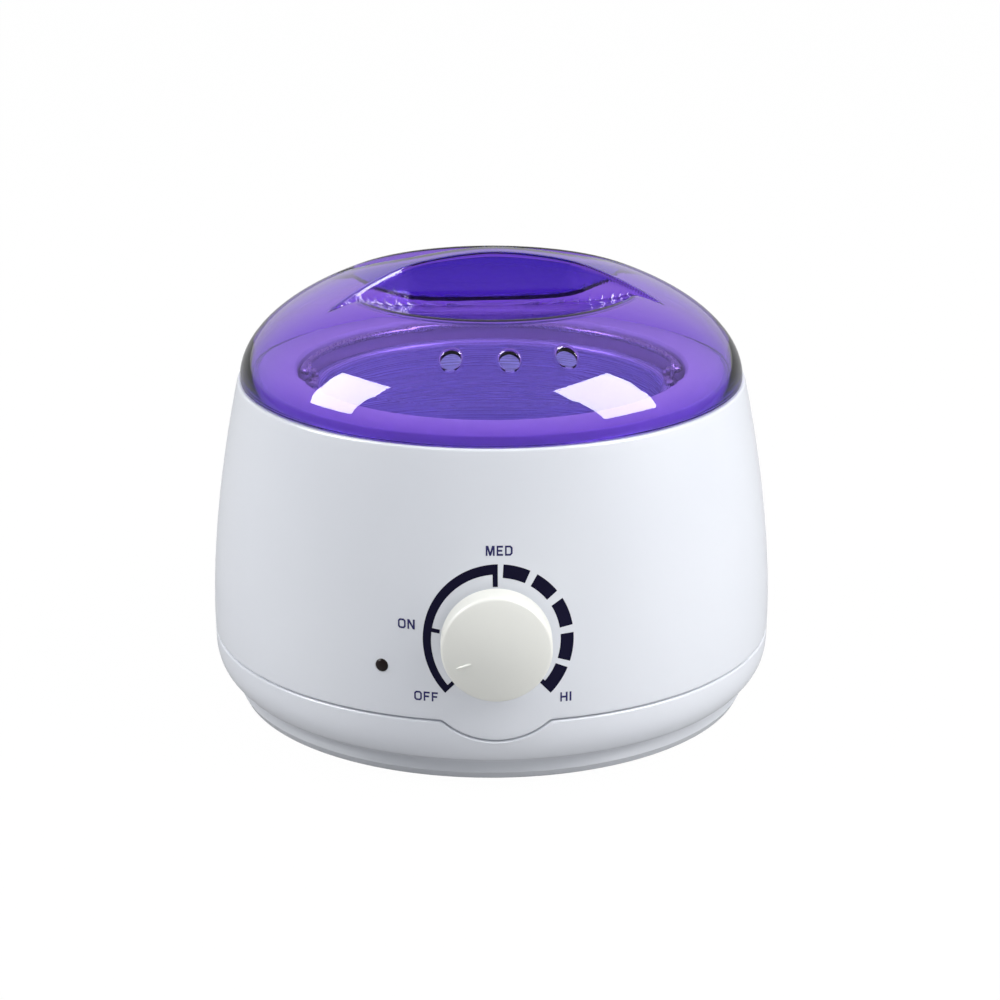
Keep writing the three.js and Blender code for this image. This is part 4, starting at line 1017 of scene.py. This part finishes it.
def make_lens():
    flat = side_radius(LAMP_Z)
    turns = np.linspace(0, math.pi / 2, 9)[:-1]
    dome = [(LENS_R * math.cos(a), flat + LENS_PROUD * math.sin(a)) for a in turns]
    low, high = LENS_FLANGE
    profile = [(0, LENS_BACK), (LENS_R, LENS_BACK), (LENS_R, low), (LENS_FLANGE_R, low)]
    profile += [(LENS_FLANGE_R, high), (LENS_R, high)] + dome + [(0, flat + LENS_PROUD)]
    points, faces = turned(profile, 48)
    lens = mesh_object("lamp_lens", towards_dial(points, LAMP_Z, -LAMP_TURN), faces)
    finish_piece(lens, lens_look, "housing", ["indicator_lens"], 40)


def on_front(x, z, lift):
    radius = side_radius(z) + lift
    return (x, -math.sqrt(radius ** 2 - x ** 2), z)


def inside(point, loops):
    """Whether a point lies in an area bounded by its outline and not in a hole of it."""
    crossings = 0
    for loop in loops:
        for (x0, z0), (x1, z1) in zip(loop, loop[1:] + loop[:1]):
            if (z0 > point[1]) != (z1 > point[1]):
                crossings += point[0] < x0 + (point[1] - z0) * (x1 - x0) / (z1 - z0)
    return crossings % 2 == 1


def printed(outlines):
    """Thin ink on the front of the shell, from shapes that are each an outline and its holes."""
    points, faces = [], []
    for loops in outlines:
        flat, edges = [], []
        for loop in loops:
            first, count = len(flat), len(loop)
            flat += loop
            edges += [(first + k, first + (k + 1) % count) for k in range(count)]
        made = delaunay_2d_cdt([Vector(p) for p in flat], edges, [], 0, 1e-6)
        flat = [(v.x, v.y) for v in made[0]]
        start, total = len(points), len(flat)
        for lift in (-0.03, 0.045):
            points += [on_front(x, z, lift) for x, z in flat]
        used = {}
        for tri in made[2]:
            middle = (sum(flat[i][0] for i in tri) / 3, sum(flat[i][1] for i in tri) / 3)
            if not inside(middle, loops):
                continue
            faces.append(tuple(start + total + i for i in tri))
            faces.append(tuple(start + i for i in tri)[::-1])
            for a, b in zip(tri, tri[1:] + tri[:1]):
                used[(a, b)] = True
        for a, b in used:
            if (b, a) not in used:
                faces.append((start + a, start + b, start + b + total, start + a + total))
    return points, faces


def dial_point(degrees, radius):
    a = math.radians(degrees)
    return (PRINT_X + radius * math.sin(a), PRINT_Z + radius * PRINT_STRETCH * math.cos(a))


def dial_arc(first, last):
    degrees = np.linspace(first, last, int((last - first) / 2) + 1)
    top = [dial_point(d, SCALE_R) for d in degrees]
    return top + [dial_point(d, SCALE_INNER) for d in degrees[::-1]]


def left_scale():
    """The arc from OFF round to MED with its marks, as one outline."""
    def inner(d):
        return 20.75 - 0.75 * (d + 135) / 135
    outline = [dial_point(d, SCALE_R) for d in np.linspace(-135, -0.4, 64)]
    outline += [(PRINT_X - 0.15, PRINT_Z + 17.0), (PRINT_X - 1.67, PRINT_Z + 17.0)]
    tick = 1.7
    for d in np.linspace(-5, -82 + tick, 36):
        outline.append(dial_point(d, inner(d)))
    outline += [dial_point(-82 + tick * 1.1, 18.0), dial_point(-82 - tick * 1.1, 18.0)]
    for d in np.linspace(-82 - tick, -135 + 3.4, 24):
        outline.append(dial_point(d, inner(d)))
    outline += [dial_point(-135 + 3.8, 18.2), dial_point(-135, 18.0)]
    return outline


def right_scale():
    outlines = [[dial_arc(a, b)] for a, b in ((4, 25), (31, 51), (58, 80), (86, 108))]
    last = [dial_point(d, SCALE_R) for d in np.linspace(113, 136, 12)]
    last += [dial_point(136, 17.6), dial_point(131.5, 17.8)]
    last += [dial_point(d, SCALE_INNER) for d in np.linspace(131.5, 113, 9)]
    return outlines + [[last]]


def round_box(w, h, cut, x0=0.0, z0=0.0):
    return [(x0 + cut, z0), (x0 + w - cut, z0), (x0 + w, z0 + cut), (x0 + w, z0 + h - cut),
            (x0 + w - cut, z0 + h), (x0 + cut, z0 + h), (x0, z0 + h - cut), (x0, z0 + cut)]


def letter(kind):
    """A capital as outlines in a cell one cap height tall, and its width."""
    s = 0.18
    if kind in "OD":
        outer = round_box(0.86, 1, 0.2) if kind == "O" else [
            (0, 0), (0.62, 0), (0.84, 0.22), (0.84, 0.78), (0.62, 1), (0, 1)]
        hole = round_box(0.86 - 2 * s, 1 - 2 * s, 0.1, s, s) if kind == "O" else [
            (s, s), (0.54, s), (0.63, 0.3), (0.63, 0.7), (0.54, 1 - s), (s, 1 - s)]
        return [outer, hole], 0.86
    shapes = {
        "F": ([(0, 0), (s, 0), (s, 0.4), (0.6, 0.4), (0.6, 0.59), (s, 0.59), (s, 0.81),
               (0.68, 0.81), (0.68, 1), (0, 1)], 0.7),
        "E": ([(0, 0), (0.7, 0), (0.7, 0.19), (s, 0.19), (s, 0.41), (0.62, 0.41), (0.62, 0.59),
               (s, 0.59), (s, 0.81), (0.7, 0.81), (0.7, 1), (0, 1)], 0.72),
        "N": ([(0, 0), (s, 0), (s, 0.66), (0.6, 0), (0.82, 0), (0.82, 1), (0.61, 1), (0.61, 0.34),
               (0.22, 1), (0, 1)], 0.84),
        "M": ([(0, 0), (0.19, 0), (0.19, 0.62), (0.4, 0), (0.58, 0), (0.79, 0.62), (0.79, 0), (0.98, 0),
               (0.98, 1), (0.7, 1), (0.49, 0.36), (0.28, 1), (0, 1)], 1.0),
        "H": ([(0, 0), (s, 0), (s, 0.4), (0.61, 0.4), (0.61, 0), (0.82, 0), (0.82, 1), (0.61, 1),
               (0.61, 0.6), (s, 0.6), (s, 1), (0, 1)], 0.84),
        "I": ([(0, 0), (0.21, 0), (0.21, 1), (0, 1)], 0.23),
    }
    outline, width = shapes[kind]
    return [outline], width


def word(text, centre, cap=3.05, gap=0.2, narrow=0.9):
    cells = [letter(kind) for kind in text]
    total = sum(width for _, width in cells) + gap * (len(cells) - 1)
    x, outlines = -total / 2, []
    for loops, width in cells:
        outlines.append([
            [(centre[0] + (x + px) * cap * narrow, centre[1] + (pz - 0.5) * cap) for px, pz in loop]
            for loop in loops
        ])
        x += width + gap
    return outlines


def make_print():
    scale = mesh_object("dial_scale", *printed([[left_scale()]] + right_scale()))
    finish_piece(scale, ink_look, "housing")
    labels = []
    for text, place in LABELS:
        labels += word(text, place)
    finish_piece(mesh_object("dial_labels", *printed(labels)), label_look, "housing")


# Underside and back

def cross_cutter(x, y, low):
    """The cross recess of a screw head."""
    arms = []
    for across, along in ((CROSS_REACH, CROSS_HALF), (CROSS_HALF, CROSS_REACH)):
        sides = (x - across, x + across), (y - along, y + along)
        arms.append(mesh_object("cross_cut", *box_shape(*sides, (low - 1, low + CROSS_DEPTH))))
    return arms


def make_feet_and_screws():
    for i, turn in enumerate((45, 135, 225, 315)):
        a = math.radians(turn)
        x, y = FOOT_CIRCLE * math.cos(a), FOOT_CIRCLE * math.sin(a)
        profile = rounded([
            (0, FOOT_DISH, 0), (FOOT_DISH_R, FOOT_DISH, 0.3), (FOOT_DISH_R + 0.6, 0, 0.3),
            (FOOT_R, 0, 0.9), (FOOT_R - 0.8, FOOT_TOP, 0.5), (STEM_R, FOOT_TOP, 0), (STEM_R, BARB_Z, 0),
            (BARB_R, BARB_Z, 0.2), (STEM_R, STEM_END, 0), (0, STEM_END, 0),
        ], 5)
        points, faces = turned(profile, 64)
        foot = mesh_object(f"foot_pad_{i + 1}", moved(points, x, y), faces)
        finish_piece(foot, rubber_look, "housing", [f"rubber_foot_{i + 1}"], 40)
    for i, turn in enumerate((30, 150, 210, 330)):
        a = math.radians(turn)
        x, y = SCREW_CIRCLE * math.cos(a), SCREW_CIRCLE * math.sin(a)
        head = [(0, SCREW_LOW), (1.2, SCREW_LOW + 0.04)]
        turns = np.linspace(0.2, math.pi / 2, 7)
        head += [(1.2 + 2.6 * math.sin(b), 3.75 - 1.41 * math.cos(b)) for b in turns]
        profile = head + [(SCREW_HEAD_R, SCREW_SEAT), (SCREW_R, SCREW_SEAT)]
        profile += [(SCREW_R, SCREW_TIP), (0, SCREW_END)]
        points, faces = turned(profile, 40)
        screw = mesh_object(f"screw_{i + 1}", moved(points, x, y), faces)
        carve(screw, cross_cutter(x, y, SCREW_LOW))
        finish_piece(screw, steel_look, "housing", [f"case_screw_{i + 1}"], 40)


def make_gland():
    low, high = GLAND_LIP
    profile = rounded([
        (0, GLAND_END, 0), (GLAND_R, GLAND_END, 0), (GLAND_R, low, 0), (GLAND_LIP_R, low, 0),
        (GLAND_LIP_R, high, 0), (GLAND_R, high, 0), (GLAND_R, GLAND_FACE, 0.7), (0, GLAND_FACE, 0),
    ], 6)
    points, faces = turned(profile, 64)
    gland = mesh_object("mains_gland", towards_dial(points, GLAND_Z, math.pi), faces)
    slot = box_shape((-SLOT_HALF, SLOT_HALF), (70, 95), (GLAND_Z - SLOT_RISE, GLAND_Z + SLOT_RISE))
    carve(gland, [mesh_object("slot_cut", *slot)])
    finish_piece(gland, rubber_look, "housing", ["cord_gland"], 40)


make_shell()
make_base()
make_lid()
make_well()
make_pot()
make_bail()
make_ear("ear_right", 1)
make_ear("ear_left", -1)
make_rivets()
make_knob()
make_lens()
make_print()
make_feet_and_screws()
make_gland()

# Parts inside keep their CAD shape and get their finish here
INSIDE_LOOKS = (
    (mica_look, "heater_band"),
    (wrap_look, "insulation_wrap"),
    (steel_look, "band_strap", "strap_screw", "strap_nut", "fuse_clip", "thermostat_bracket",
     "bracket_screw_left", "bracket_screw_right"),
    (block_look, "thermal_fuse", "thermostat_body", "lamp_holder", "terminal_block"),
    (brass_look, "thermostat_nut", "thermostat_spindle",
     "terminal_screw_1", "terminal_screw_2", "terminal_screw_3"),
    (pressed_look, "sensor_pad"),
    (red_sleeve, "lead_supply", "lead_heater_front"),
    (blue_sleeve, "lead_heater_rear", "lead_lamp"),
)
for look, *names in INSIDE_LOOKS:
    for name in names:
        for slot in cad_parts[name].material_slots:
            slot.material = look
